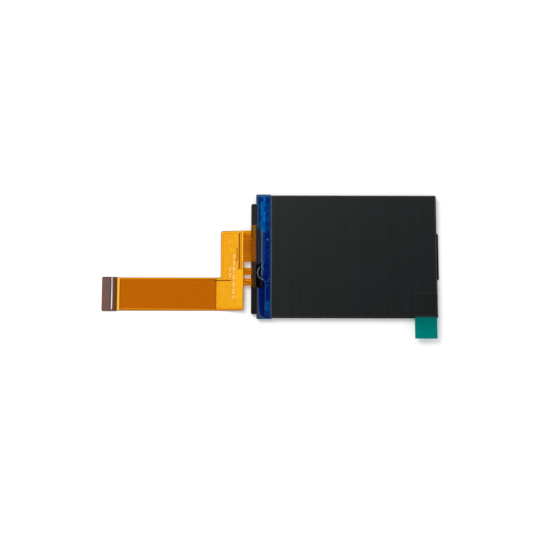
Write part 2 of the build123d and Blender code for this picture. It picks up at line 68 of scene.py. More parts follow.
# Light: a soft box at the upper left, a bright sky and a dim patch near overhead for the dark screen
WHITE = (1.0, 1.0, 1.0, 1.0)
KEY_PLACE = (-420.0, 430.0, 620.0)
KEY_SIZE = 0.45
KEY_WATTS = 3.9
SKY_LEVEL = 0.72
SKY_DIM = 0.09
SKY_DIM_TOWARDS = (0.3, -0.12, 1.0)
SKY_DIM_INNER = math.radians(9.0)
SKY_DIM_OUTER = math.radians(32.0)
FLOOR_SIDE = 6000.0
FLOOR_GLOW = 0.18
FLOOR_GAP = 0.02

# How far each kind of print stands up from the sheet it is on, from the lowest up, and sinks into it
WEDGE_RISE = 0.006
RIM_RISE = 0.008
FILM_RISE = 0.012
BAND_RISE = 0.016
LINE_RISE = 0.02
DARK_LINE_RISE = 0.022
TRACE_DROP = 0.008
PRINT_SINK = 0.004

# Steps at which prints are cut along X, so that they follow the bends of the flex
LEG_CELL = 0.3
BLOCK_CELL = 0.4
TAIL_CELL = 0.8
TRACE_CELL = 2.0
CUT_SNAP = 1e-5

# Plan of the flex, as in the CAD model
TAIL_LOW = -18.15
TAIL_HIGH = -7.05
BLOCK_LEFT = -42.15
BLOCK_RIGHT = -34.45
BLOCK_TOP = 8.68
BLOCK_CORNER = 0.65
BAR_TOP = 10.73
WIDE_LEG_LOW = -1.92
LEGS_LOW = -9.87
NARROW_LEGS = ((-6.27, -3.87), (LEGS_LOW, -7.47))

# Tail of the flex: copper field, its dark border line, a bright band and a dark rim along each edge,
# and the yellow strip beside the stiffener. Along the lower edge they climb by the lean to the left.
# The bright bands are painted light on the film's bare border, which lies in shade on the floor.
FIELD_LEFT = -75.6
FIELD_RIGHT = -43.8
FIELD_BORDER = 0.62
FIELD_CORNER = 0.12
BORDER_LINE = 0.22
STRIP_LEFT = -76.7
STRIP_RIGHT = -75.9
STRIP_MARGIN = 0.12
EDGE_BAND = 0.44
EDGE_BAND_INSET = 0.34
LOWER_BAND_RIGHT = BLOCK_RIGHT - 1.0
LOWER_LEAN = 0.28
WEDGE_FOOT = 0.02
WEDGE_TOP = 0.12
RIM_LINE = 0.13

# Copper lines under the tail
TRACE_COUNT = 37
TRACE_PITCH = 0.29
TRACE_WIDTH = 0.15
TRACE_GAP = 0.1

# Insertion mark across the stiffener, wide at its upper end and narrow at its lower end
MARK_LEFT = -78.7
MARK_WIDE = 0.55
MARK_NARROW = 0.35
MARK_LEAN = 0.1
MARK_HIGH_GAP = 0.12
MARK_LOW_GAP = 0.5

# Block of the flex: copper pour and the slit beside the tail
POUR_LEFT = FIELD_RIGHT + 0.3
POUR_MARGIN = 0.18
POUR_CORNER = 0.5
POUR_TAIL_CORNER = 0.1
POUR_LEG_CORNER = 0.2
POUR_SHOULDER = 0.3
SLIT_START = FIELD_RIGHT - 0.2
SLIT_END = -38.7
SLIT_DROP = 0.34
SLIT_LEAN = 0.05
SLIT_WIDTH = 0.36

# Lines on the block, each as a path and a width: a slot, a bracket trace and fine lines round the slot
SLOT_LINE = (((-35.9, -4.0), (-35.9, 7.55)), 0.44)
BRACKET_LINE = (((-36.85, 2.75), (-36.6, 2.5), (-36.6, -0.85), (-37.2, -1.5)), 0.24)
FINE_LINES = (
    (((-35.3, -4.1), (-35.3, 7.55), (-35.6, 7.9), (-35.95, 7.95)), 0.2),
    (((-36.4, -4.4), (-35.2, -4.25)), 0.16),
)

# Edge lines of the block and rows of small dots along its sides
EDGE_LINE = 0.22
BRIGHT_LINE = 0.2
DOT_RADIUS = 0.14
DOT_PITCH = 0.45
DOT_INSET = 0.8
BRIGHT_DOT_INSET = 0.22
BRIGHT_DOTS_HIGH = 8.2
BRIGHT_DOTS_LOW = -1.5
LEFT_DOTS_LOW = -7.4
TOP_DOTS_RIGHT = -36.6
LOW_DOTS_START = 0.3
LOW_DOTS_STOP = 0.6

# Plain ticks where the real block has printing: each column's ends and longest tick
TICK_COLUMNS = (((-37.58, 0.4), (-37.86, -13.8), 0.54), ((-38.97, -4.0), (-38.97, -7.9), 0.38))
TICK_PITCH = 0.44
TICK_WIDTH = 0.16
TICK_LENGTHS = (1.0, 0.5, 0.75, 0.0, 0.9, 0.55, 1.0, 0.7, 0.0, 0.6, 0.85)

# Legs of the flex: copper, dark lines given by height in plan and width, a wavy line and bright streaks
LEG_LAP = 0.15
LEG_CORNER = 0.1
WIDE_LEG_RIGHT = -30.35
WIDE_LEG_MARGIN = 0.12
WIDE_LEG_STEP = 2.1
BAR_COPPER_LEFT = -31.55
BAR_COPPER_MARGIN = 0.2
NARROW_LEG_RIGHT = -31.6
NARROW_LEG_MARGIN = 0.2
LEG_LINES = ((6.45, 0.2), (2.45, 0.12), (-0.6, 0.12), (-5.1, 0.14))
LEG_LINE_GAP = 0.1
LEG_LINE_RIGHT = -31.9
LEG_WAVE = (((-34.2, -8.75), (-33.7, -8.6), (-32.9, -8.8), (-32.3, -8.7)), 0.22)
LEG_STREAKS = ((((-33.6, -8.15), (-32.0, -8.12)), 0.22), (((-34.25, -9.15), (-33.2, -9.22)), 0.26))

# Ledge of the glass, and the tape on it with a notch at its upper right
GLASS_TOP = 1.52
GLASS_LEFT = -30.15
GLASS_HALF = 20.7
FLEX_TOP = 1.62
TAPE_TOP = 1.67
TAPE_EDGE = 0.2
TAPE_EDGE_DROP = 0.035
TAPE_CELLS = (0.1, 0.4)
TAPE_CORNERS = {"low": 0.7, "notch": 0.3, "left": 0.5, "inner": 0.1}
NOTCH_LEFT = -28.8
NOTCH_LOW = 8.4
CREASE_X = -28.52
CREASE_PATH = ((CREASE_X, -7.85), (CREASE_X, -9.0), (CREASE_X, -10.4))
CREASE_SWELL = 0.02
CREASE_SPREAD = 0.25
CREASE_EASE = (7.4, 8.0)
CREASE_WIDTH = 0.6
CREASE_HEIGHT = 0.03

# Plan of the sealant
GEL_LEFT_HIGH = -30.32
GEL_LEFT_LOW = -30.09
GEL_SHELF_SIDE = -29.93
GEL_STEP_HIGH = 17.9
GEL_STEP_LOW = -19.5
GEL_TAPE_SIDE = -28.1
GEL_TAPE_GAP = 0.05
GEL_RIGHT = -25.4
GEL_HALF = 21.0
GEL_TONGUE_RIGHT = -25.0
GEL_TONGUE_TOP = -20.42
GEL_ROUND = 0.07
GEL_CORNER = 0.3
GEL_CELL = 0.12

# Heights of the sealant: thin skin, shoulder beside the tape, full over the chip, rounded edge, right lip
WRAP_DEPTH = 0.45
GEL_SKIN = 0.07
GEL_SHOULDER = 0.3
GEL_FULL = 0.39
GEL_LEAST = 0.04
GEL_EDGE = 0.12
GEL_EDGE_DROP = 0.06
GEL_LIP = 0.05
GEL_LIP_EASE = (-25.75, -25.4)
GEL_CHIP_EASE = (-27.5, -27.1)
GEL_ON_FLEX_RIGHT = -28.2
GEL_ON_FLEX_LAP = 0.1

# Full part of the sealant: straight sides in its upper part, a rounded end by a power curve in its lower
GEL_SIDE_EASE = (-29.7, -29.4)
GEL_TOP_EASE = (20.05, 20.45)
GEL_END_START = -10.0
GEL_END_CENTRE = (-25.3, -11.5)
GEL_END_REACH = (4.05, 9.25)
GEL_END_POWER = 4.4
GEL_END_EASE = (0.96, 1.03)

# Small waves: height, number per millimetre along X and Y, and the slice of the noise
GEL_WAVES = (0.022, 1.1, 0.7, 3.0)
TAPE_WAVES = (0.006, 1.0, 0.6, 8.0)

# Beads along the sealant's edges, each with its look, width, height and path. Their pale looks are painted
# highlights on real ridges of sealant.
BEAD_TIP = 0.12
GEL_BEADS = {
    "gel_bead_at_tape": (
        "bead_lavender", 0.52, 0.14,
        ((-28.31, 8.75), (-28.31, 8.1), (-28.32, 3.0), (-28.33, -1.5), (-28.2, -2.7), (-28.4, -3.6),
         (-28.2, -4.6), (-28.36, -5.6), (-28.3, -7.3))),
    "gel_bead_ring": (
        "bead_grey", 0.5, 0.12,
        ((-29.0, -3.6), (-29.45, -4.35), (-29.68, -5.3), (-29.58, -6.4), (-29.2, -7.13), (-28.7, -7.47),
         (-28.16, -7.78), (-27.65, -8.12))),
    "gel_bead_line": (
        "bead_teal", 0.32, 0.06,
        ((-27.65, -8.15), (-27.33, -8.5), (-27.14, -9.1), (-27.13, -14.7), (-27.18, -18.5), (-27.3, -20.0))),
    "gel_bead_swirl": (
        "bead_blue", 0.24, 0.06,
        ((-28.2, -1.6), (-27.85, -2.5), (-28.1, -3.4), (-27.8, -4.3), (-28.05, -5.3), (-27.9, -6.4))),
}

# Bubbles in the sealant: place in plan, radius and height. Their pale look is a painted highlight.
GEL_BUBBLES = (
    (-26.44, 5.56, 0.24, 0.1), (-26.42, -8.44, 0.12, 0.06), (-26.45, -9.88, 0.12, 0.06),
    (-26.02, -7.81, 0.1, 0.05), (-27.75, 8.1, 0.12, 0.05), (-27.2, 14.5, 0.1, 0.04),
)

# Values that several looks share
GLASS_INDEX = 1.52
GEL_INDEX = 1.45
FILM_STREAKS = (0.9, 3.0, (1.0, 60.0, 1.0))
FILM_ROUGH = (0.15, 0.19)
INK_ROUGH = (0.42, 0.55)
INK_SHEEN = 0.05


def mm(*values):
    """Millimetres to metres, as a vector."""
    return Vector(values) * MM


def srgb(red, green, blue):
    """A colour given as 0 to 255 screen values, as linear red, green, blue and alpha."""
    def linear(value):
        share = value / 255.0
        return share / 12.92 if share <= 0.04045 else ((share + 0.055) / 1.055) ** 2.4
    return (linear(red), linear(green), linear(blue), 1.0)


def smooth(value, start, end):
    """0 at start and 1 at end, eased, and held beyond them."""
    share = min(1.0, max(0.0, (value - start) / (end - start)))
    return share * share * (3.0 - 2.0 * share)


def waves(x, y, height, along_x, along_y, layer):
    """Small smooth waves over the plan, from one slice of a fixed noise."""
    return height * noise.noise(Vector((x * along_x, y * along_y, layer)))


def box_mm(node):
    """Lowest and highest corner of a CAD node, in millimetres."""
    low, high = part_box(node)
    return Vector(low) / MM, Vector(high) / MM


def put(tree, socket, value):
    """Sets a node's socket to a value, or links a source to it."""
    if hasattr(value, "is_linked"):
        tree.links.new(value, socket)
    else:
        socket.default_value = value


def add_node(tree, kind, inputs, **settings):
    """A new shader node with its settings, and a value or source for each input that is given."""
    node = tree.nodes.new("ShaderNode" + kind)
    for name, value in settings.items():
        setattr(node, name, value)
    for name, value in inputs.items():
        put(tree, node.inputs[name], value)
    return node


def eased(tree, source, low, high, start, end):
    """Maps a source from start..end to low..high, eased and held at both ends."""
    inputs = {"Value": source, "From Min": start, "From Max": end, "To Min": low, "To Max": high}
    return add_node(tree, "MapRange", inputs, interpolation_type="SMOOTHSTEP").outputs[0]


class Look:
    """A procedural material: its nodes are added and linked through short calls."""

    def __init__(self, name):
        self.material = bpy.data.materials.new(name)
        self.material.use_nodes = True
        self.tree = self.material.node_tree
        self.shader = self.tree.nodes["Principled BSDF"]
        coordinates = self.add("TexCoord", {}).outputs
        self.place = coordinates["Object"]
        self.share = coordinates["Generated"]

    def add(self, kind, inputs, **settings):
        """A new node in the material."""
        return add_node(self.tree, kind, inputs, **settings)

    def set(self, **values):
        """Values or sources for the shader's own sockets, with underscores for the spaces in their names."""
        for name, value in values.items():
            put(self.tree, self.shader.inputs[name.replace("_", " ")], value)

    def finish(self, colour, grain, rough, sheen=0.5, **sockets):
        """Gives the shader a colour, a roughness that follows a grain, a sheen and what else is named."""
        rough = self.spread(grain, *rough)
        self.set(Base_Color=colour, Roughness=rough, Specular_IOR_Level=sheen, **sockets)

    def math(self, operation, first, second, kind="Math"):
        """Two numbers put together, or two vectors by a VectorMath node, each a value or a source."""
        return self.add(kind, {0: first, 1: second}, operation=operation).outputs[0]

    def axis(self, letter, source=None):
        """One coordinate in metres, or of another vector source."""
        return self.add("SeparateXYZ", {0: source or self.place}).outputs[letter]

    def _noise_node(self, size, detail, stretch):
        scale = [1.0 / factor for factor in stretch]
        place = self.add("Mapping", {"Scale": scale, "Vector": self.place}).outputs[0]
        return self.add("TexNoise", {"Scale": 1.0 / (size * MM), "Detail": detail, "Vector": place})

    def noise(self, size, detail=3.0, stretch=(1.0, 1.0, 1.0)):
        """Noise with patches about that many millimetres across, drawn out along an axis by stretch."""
        return self._noise_node(size, detail, stretch).outputs[0]

    def warped(self, size, reach):
        """The place, pushed about by noise up to that many millimetres, for uneven borders."""
        push = self._noise_node(size, 2.0, (1.0, 1.0, 1.0)).outputs[1]
        push = self.math("SUBTRACT", push, (0.5, 0.5, 0.5), "VectorMath")
        scale = (2.0 * reach * MM, 2.0 * reach * MM, 0.0)
        push = self.math("MULTIPLY", push, scale, "VectorMath")
        return self.math("ADD", self.place, push, "VectorMath")

    def spread(self, source, low, high, start=0.3, end=0.7):
        """A source mapped from start..end, by default the range of most noise, to low..high."""
        return eased(self.tree, source, low, high, start, end)

    def step(self, letter, start, end):
        """0 before start and 1 after end along an axis, both in millimetres."""
        return self.spread(self.axis(letter), 0.0, 1.0, start * MM, end * MM)

    def band(self, letter, start, end, soft):
        """1 between two places along an axis and 0 outside, with soft borders, in millimetres."""
        rise = self.step(letter, start - soft / 2, start + soft / 2)
        fall = self.step(letter, end - soft / 2, end + soft / 2)
        return self.math("SUBTRACT", rise, fall)

    def zone(self, across, along, soft):
        """1 inside a rectangle in plan and 0 outside, with soft borders, in millimetres."""
        return self.math("MULTIPLY", self.band("X", *across, soft), self.band("Y", *along, soft))

    def mix(self, factor, first, second):
        """Colour between two, each a source or its red, green and blue as 0 to 255 screen values."""
        node = self.add("Mix", {"Factor": factor}, data_type="RGBA")
        colours = [socket for socket in node.inputs if socket.type == "RGBA"]
        for socket, colour in zip(colours, (first, second)):
            put(self.tree, socket, srgb(*colour) if isinstance(colour, tuple) else colour)
        return [socket for socket in node.outputs if socket.type == "RGBA"][0]

    def tones(self, source, dark, light, start=0.3, end=0.7):
        """Colour that follows a noise between two tones."""
        return self.mix(self.spread(source, 0.0, 1.0, start, end), dark, light)

    def bump(self, height, strength, depth):
        """Bump from a height source, with its depth in millimetres."""
        inputs = {"Strength": strength, "Distance": depth * MM, "Height": height}
        self.set(Normal=self.add("Bump", inputs).outputs[0])

    def see_through(self, tint, cover):
        """Lets light through with that tint, where cover is the share that the surface holds back."""
        clear = self.add("BsdfTransparent", {"Color": tint}).outputs[0]
        mixer = self.add("MixShader", {0: cover, 1: clear, 2: self.shader.outputs[0]})
        put(self.tree, self.tree.nodes["Material Output"].inputs["Surface"], mixer.outputs[0])


def highlight_bead_look(look, dark, light):
    """Thin clear edge of the sealant, which catches the light; its pale colour is a painted highlight."""
    cloud = look.noise(0.5)
    look.finish(look.tones(cloud, dark, light), cloud, (0.12, 0.24), 0.4, IOR=GEL_INDEX)


def ink_look(look, dark, light):
    """Printed ink."""
    fleck = look.noise(0.3)
    look.finish(look.tones(fleck, dark, light), fleck, INK_ROUGH, INK_SHEEN)


def metal_look(look, dark, light, rough=(0.22, 0.36), size=0.3):
    """Plated metal with fine scuffs."""
    scuff = look.noise(size, 4.0)
    look.finish(look.tones(scuff, dark, light), scuff, rough, Metallic=1.0)


def plain_look(look, dark, light, rough=(0.35, 0.5), size=0.6):
    """Moulded or cast material with a fine grain."""
    grain = look.noise(size)
    look.bump(grain, 0.1, 0.008)
    look.finish(look.tones(grain, dark, light), grain, rough)


def polariser_charcoal(look):
    """Charcoal polariser sheet, satin, with a fine drawn grain."""
    grain = look.noise(0.4, 3.0, (1.0, 30.0, 1.0))
    look.finish(look.tones(grain, (20, 21, 22), (28, 29, 31)), grain, (0.3, 0.42))


def film_dark(look):
    """Clear protective film over the charcoal polariser, with faint streaks from its backing."""
    streaks = look.noise(*FILM_STREAKS)
    cloud = look.noise(18.0, 2.0)
    base = look.tones(streaks, (22, 24, 25), (24, 27, 28))
    base = look.mix(look.spread(cloud, 0.0, 0.4), base, (25, 27, 29))
    look.bump(look.noise(6.0, 2.0), 0.06, 0.01)
    look.finish(base, streaks, FILM_ROUGH, IOR=1.49)


def cell_glass_front(look):
    """Thin front glass: only its ground border shows, grey, and darkest along the lower edge by painted
    shade.
    """
    haze = look.noise(1.5)
    rim = look.tones(haze, (70, 69, 68), (83, 82, 80))
    rim = look.mix(look.step("Y", 19.6, 20.0), rim, look.tones(haze, (68, 67, 67), (80, 79, 79)))
    rim = look.mix(look.step("X", 29.0, 29.4), rim, look.tones(haze, (70, 70, 72), (82, 82, 84)))
    # Painted shade: the border along the lower edge, which faces away from the light, is darker.
    rim = look.mix(look.step("Y", -20.0, -19.6), (48, 51, 52), rim)
    look.finish(rim, haze, (0.1, 0.2), IOR=GLASS_INDEX)


def cell_glass_rear(look):
    """Rear glass: dark along the picture area, lavender grey where the ledge is bare, with a painted shadow
    in a thin strip beside the shelf.
    """
    haze = look.noise(2.0)
    dark = look.tones(haze, (15, 16, 17), (22, 23, 25))
    ledge = look.tones(haze, (50, 64, 92), (68, 82, 112))
    # Painted shadow: a dark strip on the bare ledge along the shelf's edge.
    shadow_beside_shelf = look.zone((-31.0, GEL_SHELF_SIDE), (GEL_STEP_LOW, GEL_STEP_HIGH), 0.06)
    ledge = look.mix(shadow_beside_shelf, ledge, (22, 24, 28))
    base = look.mix(look.step("X", -25.7, -25.4), ledge, dark)
    look.finish(base, haze, (0.08, 0.16), IOR=GLASS_INDEX)


def frame_black(look):
    """Black moulded plastic of the backlight frame, fine spark texture and softly worn patches, with painted
    shade that makes its lower half darker.
    """
    grain = look.noise(0.12, 4.0)
    wear = look.noise(3.0)
    upper = look.tones(wear, (25, 27, 29), (32, 34, 36))
    lower = look.tones(wear, (6, 6, 7), (11, 11, 12))
    # Painted shade: one plastic in a lit tone above and a shaded tone below, blended across the middle.
    base = look.mix(look.step("Y", -9.0, 9.0), lower, upper)
    look.bump(grain, 0.25, 0.012)
    look.finish(base, grain, (0.36, 0.5), 0.15)


def tape_black(look):
    """Black adhesive tape: dark grey and matt above, nearly black below, bluish at the notch."""
    fibre = look.noise(0.3, 4.0, (1.0, 3.0, 1.0))
    look.place = look.warped(1.2, 0.35)
    upper = look.tones(fibre, (33, 36, 43), (39, 41, 47))
    lower = look.tones(fibre, (0, 1, 4), (3, 4, 9))
    base = look.mix(look.step("Y", -3.0, -2.2), lower, upper)
    base = look.mix(look.step("Y", 8.6, 9.7), base, (24, 50, 74))
    look.bump(fibre, 0.2, 0.008)
    look.finish(base, fibre, (0.45, 0.6), 0.02)


def sealant_blue(look):
    """Blue sealant: navy where it is deep over the chip, bright where it is thin over bare glass."""
    cloud = look.noise(0.9, 3.0, (1.0, 2.2, 1.0))
    speck = look.noise(0.55)
    ragged = look.spread(look.noise(0.8), 0.35, 1.0, 0.4, 0.56)
    thin = look.spread(look.axis("Z"), 1.0, 0.0, (GLASS_TOP + 0.12) * MM, (GLASS_TOP + 0.24) * MM)
    look.bump(look.noise(0.7, 2.0), 0.2, 0.03)
    look.place = look.warped(0.8, 0.3)
    navy = look.tones(speck, (0, 12, 74), (1, 43, 121))
    deep = look.tones(speck, (0, 11, 73), (1, 27, 98))
    middle = look.tones(cloud, (1, 34, 92), (2, 66, 130))
    bright = look.tones(cloud, (1, 58, 130), (3, 100, 172))
    colour = look.mix(look.step("Y", 7.6, 9.0), navy, middle)
    zones = (
        ((-28.8, -27.3), (8.0, 22.0), 0.3, bright),
        ((-28.7, -27.9), (18.4, 19.7), 0.4, (1, 32, 98)),
        ((-26.9, -26.1), (17.9, 19.7), 0.4, (1, 34, 100)),
        ((-29.7, -28.9), (9.2, 10.5), 0.4, (18, 57, 92)),
        ((-30.3, -29.6), (9.2, 10.9), 0.3, (54, 65, 72)),
        ((-31.0, -27.3), (-21.0, -10.5), 0.3, deep),
        ((-28.2, -27.45), (-2.6, 8.3), 0.2, (14, 54, 110)),
        ((-27.1, -25.8), (-9.2, -3.0), 0.6, look.tones(speck, (0, 10, 74), (1, 34, 106))),
        # Painted shadow beside the lower end of the tape: nearly black next to it, dark navy further right.
        ((-28.5, -27.85), (-10.9, -8.2), 0.25, (0, 1, 20)),
        ((-27.85, -27.4), (-10.9, -8.4), 0.3, (1, 7, 45)),
        ((-27.3, -26.0), (-14.5, -9.0), 0.5, look.tones(speck, (0, 12, 72), (1, 34, 104))),
        ((-26.8, -25.7), (-19.8, -17.8), 0.5, look.tones(cloud, (1, 32, 98), (1, 52, 124))),
        ((-29.4, -25.5), (-20.5, -20.15), 0.2, look.tones(speck, (12, 22, 52), (44, 60, 90))),
        ((-25.55, -24.5), (-22.0, -19.8), 0.2, (68, 88, 116)),
    )
    for across, along, soft, tone in zones:
        colour = look.mix(look.zone(across, along, soft), colour, tone)
    patch = look.math("MULTIPLY", look.zone((-27.3, -25.7), (-18.2, -15.2), 0.5), ragged)
    colour = look.mix(patch, colour, bright)
    right = look.spread(look.axis("X"), 0.0, 0.8, -25.9 * MM, -25.6 * MM)
    right = look.math("MULTIPLY", right, look.step("Y", -20.0, -19.6))
    colour = look.mix(right, colour, (2, 50, 124))
    left = look.mix(look.step("Y", -10.0, 0.0), (51, 63, 89), (48, 69, 96))
    rim = look.mix(look.step("X", -28.9, -27.6), left, (6, 84, 146))
    rim = look.mix(look.step("Y", 19.8, 20.4), rim, (64, 90, 118))
    colour = look.mix(thin, colour, rim)
    look.set(Base_Color=colour, Roughness=0.14, IOR=GEL_INDEX, Specular_IOR_Level=0.03)


def flex_amber(look):
    """Amber polyimide film: a little cloudy, so that what lies under it shows through."""
    cloud = look.noise(0.8)
    base = look.tones(cloud, (206, 124, 8), (228, 142, 14))
    bar = look.mix(look.step("Y", -7.5, -5.0), (218, 167, 97), (188, 160, 136))
    base = look.mix(look.step("X", -31.9, -31.6), base, bar)
    look.see_through((0.88, 0.562, 0.02, 1.0), look.spread(cloud, 0.05, 0.08))
    look.finish(base, cloud, (0.28, 0.4), 0.3)


def tail_copper(look):
    """Copper of the tail, seen through the film's cover layer."""
    streak = look.noise(0.6, 4.0, (3.0, 1.0, 1.0))
    base = look.tones(streak, (187, 97, 1), (192, 101, 2))
    look.bump(look.noise(0.25), 0.08, 0.008)
    look.finish(base, streak, (0.3, 0.4), 0.02)


def leg_copper(look):
    """Fine copper lines on the legs, so close that they read as a darker, half clear amber."""
    line = look.noise(0.45, 3.0, (14.0, 1.0, 1.0))
    base = look.tones(line, (217, 127, 1), (224, 133, 2))
    base = look.mix(look.step("Y", 8.4, 8.9), base, (205, 152, 66))
    # Painted light and shade: the wide leg is made more solid than the narrow ones, which hides the shaded
    # floor under it, and less solid towards the shelf, which paints its darkening where it rises into shade.
    off_shelf = look.spread(look.axis("X"), 0.22, 0.0, -33.2 * MM, -31.6 * MM)
    wide_leg = look.math("MULTIPLY", look.step("Y", -3.0, -2.5), off_shelf)
    look.see_through((1.0, 1.0, 0.6, 1.0), look.math("ADD", look.spread(line, 0.18, 0.22), wide_leg))
    look.finish(base, line, (0.3, 0.42), 0.05)


def flex_pour(look):
    """Golden copper pour of the block: a sandy etched grain, plainer and brighter at the lower right."""
    sand = look.noise(0.21, 1.0)
    cloud = look.noise(4.0)
    base = look.tones(sand, (224, 138, 1), (255, 190, 34), 0.34, 0.66)
    right = look.step("X", -39.0, -36.0)
    base = look.mix(look.math("MULTIPLY", right, 0.3), base, (251, 177, 20))
    base = look.mix(look.spread(cloud, 0.0, 0.4), base, (240, 157, 9))
    plain = look.math("MULTIPLY", look.zone((-37.2, -34.0), (-14.0, -4.6), 1.2), 0.7)
    base = look.mix(plain, base, (253, 180, 22))
    look.bump(sand, 0.25, 0.012)
    look.finish(base, sand, (0.32, 0.46), 0.05)


def ink_border(look):
    """Thin border line of the tail's copper, darker on its upper side towards the block."""
    fleck = look.noise(0.3)
    far = look.tones(fleck, (178, 92, 1), (187, 98, 2))
    near = look.tones(fleck, (146, 70, 2), (160, 78, 4))
    upper_right = look.math("MULTIPLY", look.step("X", -62.0, -47.0), look.step("Y", -9.0, -8.0))
    look.finish(look.mix(upper_right, far, near), fleck, INK_ROUGH, INK_SHEEN)


def ink_mark(look):
    """White insertion mark, worn thinner towards its upper end."""
    fleck = look.noise(0.25)
    fresh = look.tones(fleck, (231, 228, 228), (241, 237, 236))
    worn = look.tones(fleck, (176, 174, 178), (194, 191, 194))
    base = look.mix(look.step("Y", -15.0, -9.0), fresh, worn)
    look.finish(base, fleck, INK_ROUGH, INK_SHEEN)


def stiffener_brown(look):
    """Brown stiffener board: mauve near its free end, red brown with dark stripes near the tail."""
    fibre = look.noise(0.35, 3.0, (1.0, 4.0, 1.0))
    mauve = look.tones(fibre, (110, 80, 73), (120, 88, 80))
    rust = look.tones(fibre, (100, 57, 38), (110, 66, 46))
    base = look.mix(look.step("X", -78.6, -78.4), mauve, rust)
    base = look.mix(look.band("X", -79.0, -78.6, 0.2), base, (66, 40, 34))
    base = look.mix(look.band("X", -77.35, -76.95, 0.2), base, (92, 50, 36))
    low, high = box_mm("flex_stiffener")
    inner = look.band("Y", low.y + 0.35, high.y - 0.35, 0.3)
    base = look.mix(inner, (88, 56, 48), base)
    look.bump(fibre, 0.15, 0.01)
    look.finish(base, fibre, (0.4, 0.55), 0.1)


def capacitor_tan(look):
    """Tan ceramic body with bright tinned ends."""
    fleck = look.noise(0.12)
    along = look.axis("Y", look.share)
    near_end = look.spread(along, 1.0, 0.0, 0.21, 0.22)
    far_end = look.spread(along, 0.0, 1.0, 0.78, 0.79)
    ends = look.math("ADD", near_end, far_end)
    body = look.tones(fleck, (150, 112, 72), (176, 138, 96))
    look.finish(look.mix(ends, body, (206, 206, 202)), fleck, (0.3, 0.44), Metallic=ends)


def tab_teal(look):
    """Pull tab: clear teal film where it hangs free, as dark as the screen where it is stuck on, with
    painted highlights along the stuck part's edges and painted shade on the free part near the module.
    """
    cloud = look.noise(3.0, 2.0)
    streaks = look.noise(*FILM_STREAKS)
    stuck = look.step("Y", -20.42, -20.3)
    # Painted highlights: lighter lines where the stuck part's fold, end and side catch the light.
    fold = look.band("Y", -20.4, -19.6, 0.2)
    end = look.band("Y", -12.4, -11.9, 0.2)
    side = look.math("MULTIPLY", look.band("X", 22.2, 22.6, 0.2), 0.35)
    edge_highlights = look.math("MAXIMUM", look.math("MAXIMUM", fold, end), side)
    # Painted shade: the free part is darker near the module, where the floor under it is shaded.
    free = look.mix(look.step("Y", -26.0, -20.5), (0, 129, 121), (0, 115, 108))
    free = look.mix(look.spread(cloud, 0.0, 0.2), free, (0, 110, 104))
    dark = look.tones(streaks, (20, 22, 23), (22, 25, 26))
    dark = look.mix(edge_highlights, dark, (33, 36, 37))
    sheen = look.spread(stuck, 0.05, 0.5, 0.0, 1.0)
    look.see_through((0.05, 0.85, 0.8, 1.0), look.spread(stuck, 0.7, 1.0, 0.0, 1.0))
    look.finish(look.mix(stuck, free, dark), streaks, FILM_ROUGH, sheen)


def reflector_white(look):
    """Silvery white reflector film: satin, with a faint sheen that drifts across it."""
    drift = look.noise(22.0, 2.0)
    satin = look.noise(0.25, 2.0)
    base = look.tones(drift, (214, 216, 217), (221, 222, 222))
    look.bump(satin, 0.05, 0.004)
    look.finish(base, satin, (0.28, 0.34), Metallic=0.3)


def make_looks():
    """All materials by name, which for a single one is its function's name."""
    singles = (
        film_dark, polariser_charcoal, cell_glass_front, cell_glass_rear, frame_black, tape_black,
        sealant_blue, flex_amber, tail_copper, leg_copper, flex_pour, ink_mark, ink_border, stiffener_brown,
        capacitor_tan, tab_teal, reflector_white,
    )
    # Pale tones of the sealant's beads and bubbles: painted highlights.
    beads = {
        "bead_lavender": ((52, 74, 114), (74, 93, 134)),
        "bead_grey": ((62, 67, 82), (92, 97, 116)),
        "bead_blue": ((34, 62, 116), (54, 84, 140)),
        "bead_teal": ((4, 48, 98), (10, 60, 114)),
        "bubble": ((62, 126, 170), (102, 168, 204)),
    }
    inks = {
        # Painted highlight: the tape's crease in a lighter tone than the black tape around it.
        "crease_highlight": ((21, 24, 33), (26, 29, 39)),
        "ink_brown": ((166, 86, 1), (182, 98, 4)),
        "ink_dark": ((122, 62, 6), (146, 78, 12)),
        "ink_yellow": ((248, 184, 46), (254, 200, 64)),
        "ink_white": ((251, 244, 208), (254, 250, 222)),
        "ink_bright": ((254, 208, 72), (255, 222, 100)),
        "ink_amber": ((218, 123, 2), (228, 131, 4)),
        "ink_rim": ((146, 82, 4), (162, 94, 6)),
        "ink_gold": ((227, 144, 2), (236, 154, 6)),
        "ink_orange": ((204, 116, 4), (218, 128, 8)),
        "ink_edge": ((100, 54, 4), (118, 66, 6)),
    }
    metals = {
        "contact_gold": ((214, 170, 88), (238, 200, 120)),
        "trace_copper": ((196, 118, 54), (206, 127, 61), (0.38, 0.48), 1.5),
        "solder_bright": ((176, 178, 180), (206, 207, 208)),
    }
    mouldings = {
        "guide_clear": ((206, 214, 214), (226, 232, 232), (0.1, 0.2)),
        "film_frosted": ((216, 217, 214), (232, 232, 230), (0.5, 0.65), 0.2),
        "seal_resin": ((120, 116, 104), (140, 134, 120)),
        "crystal_layer": ((34, 36, 40), (48, 50, 54), (0.2, 0.3)),
        "chip_silicon": ((40, 42, 48), (62, 64, 70), (0.15, 0.25)),
        "lamp_white": ((224, 222, 212), (238, 236, 224)),
    }
    jobs = [(make.__name__, make, ()) for make in singles]
    families = ((highlight_bead_look, beads), (ink_look, inks), (metal_look, metals), (plain_look, mouldings))
    for make, family in families:
        jobs += [(name, make, values) for name, values in family.items()]
    looks = {}
    for name, make, values in jobs:
        look = Look(name)
        make(look, *values)
        looks[name] = look.material
    return looks


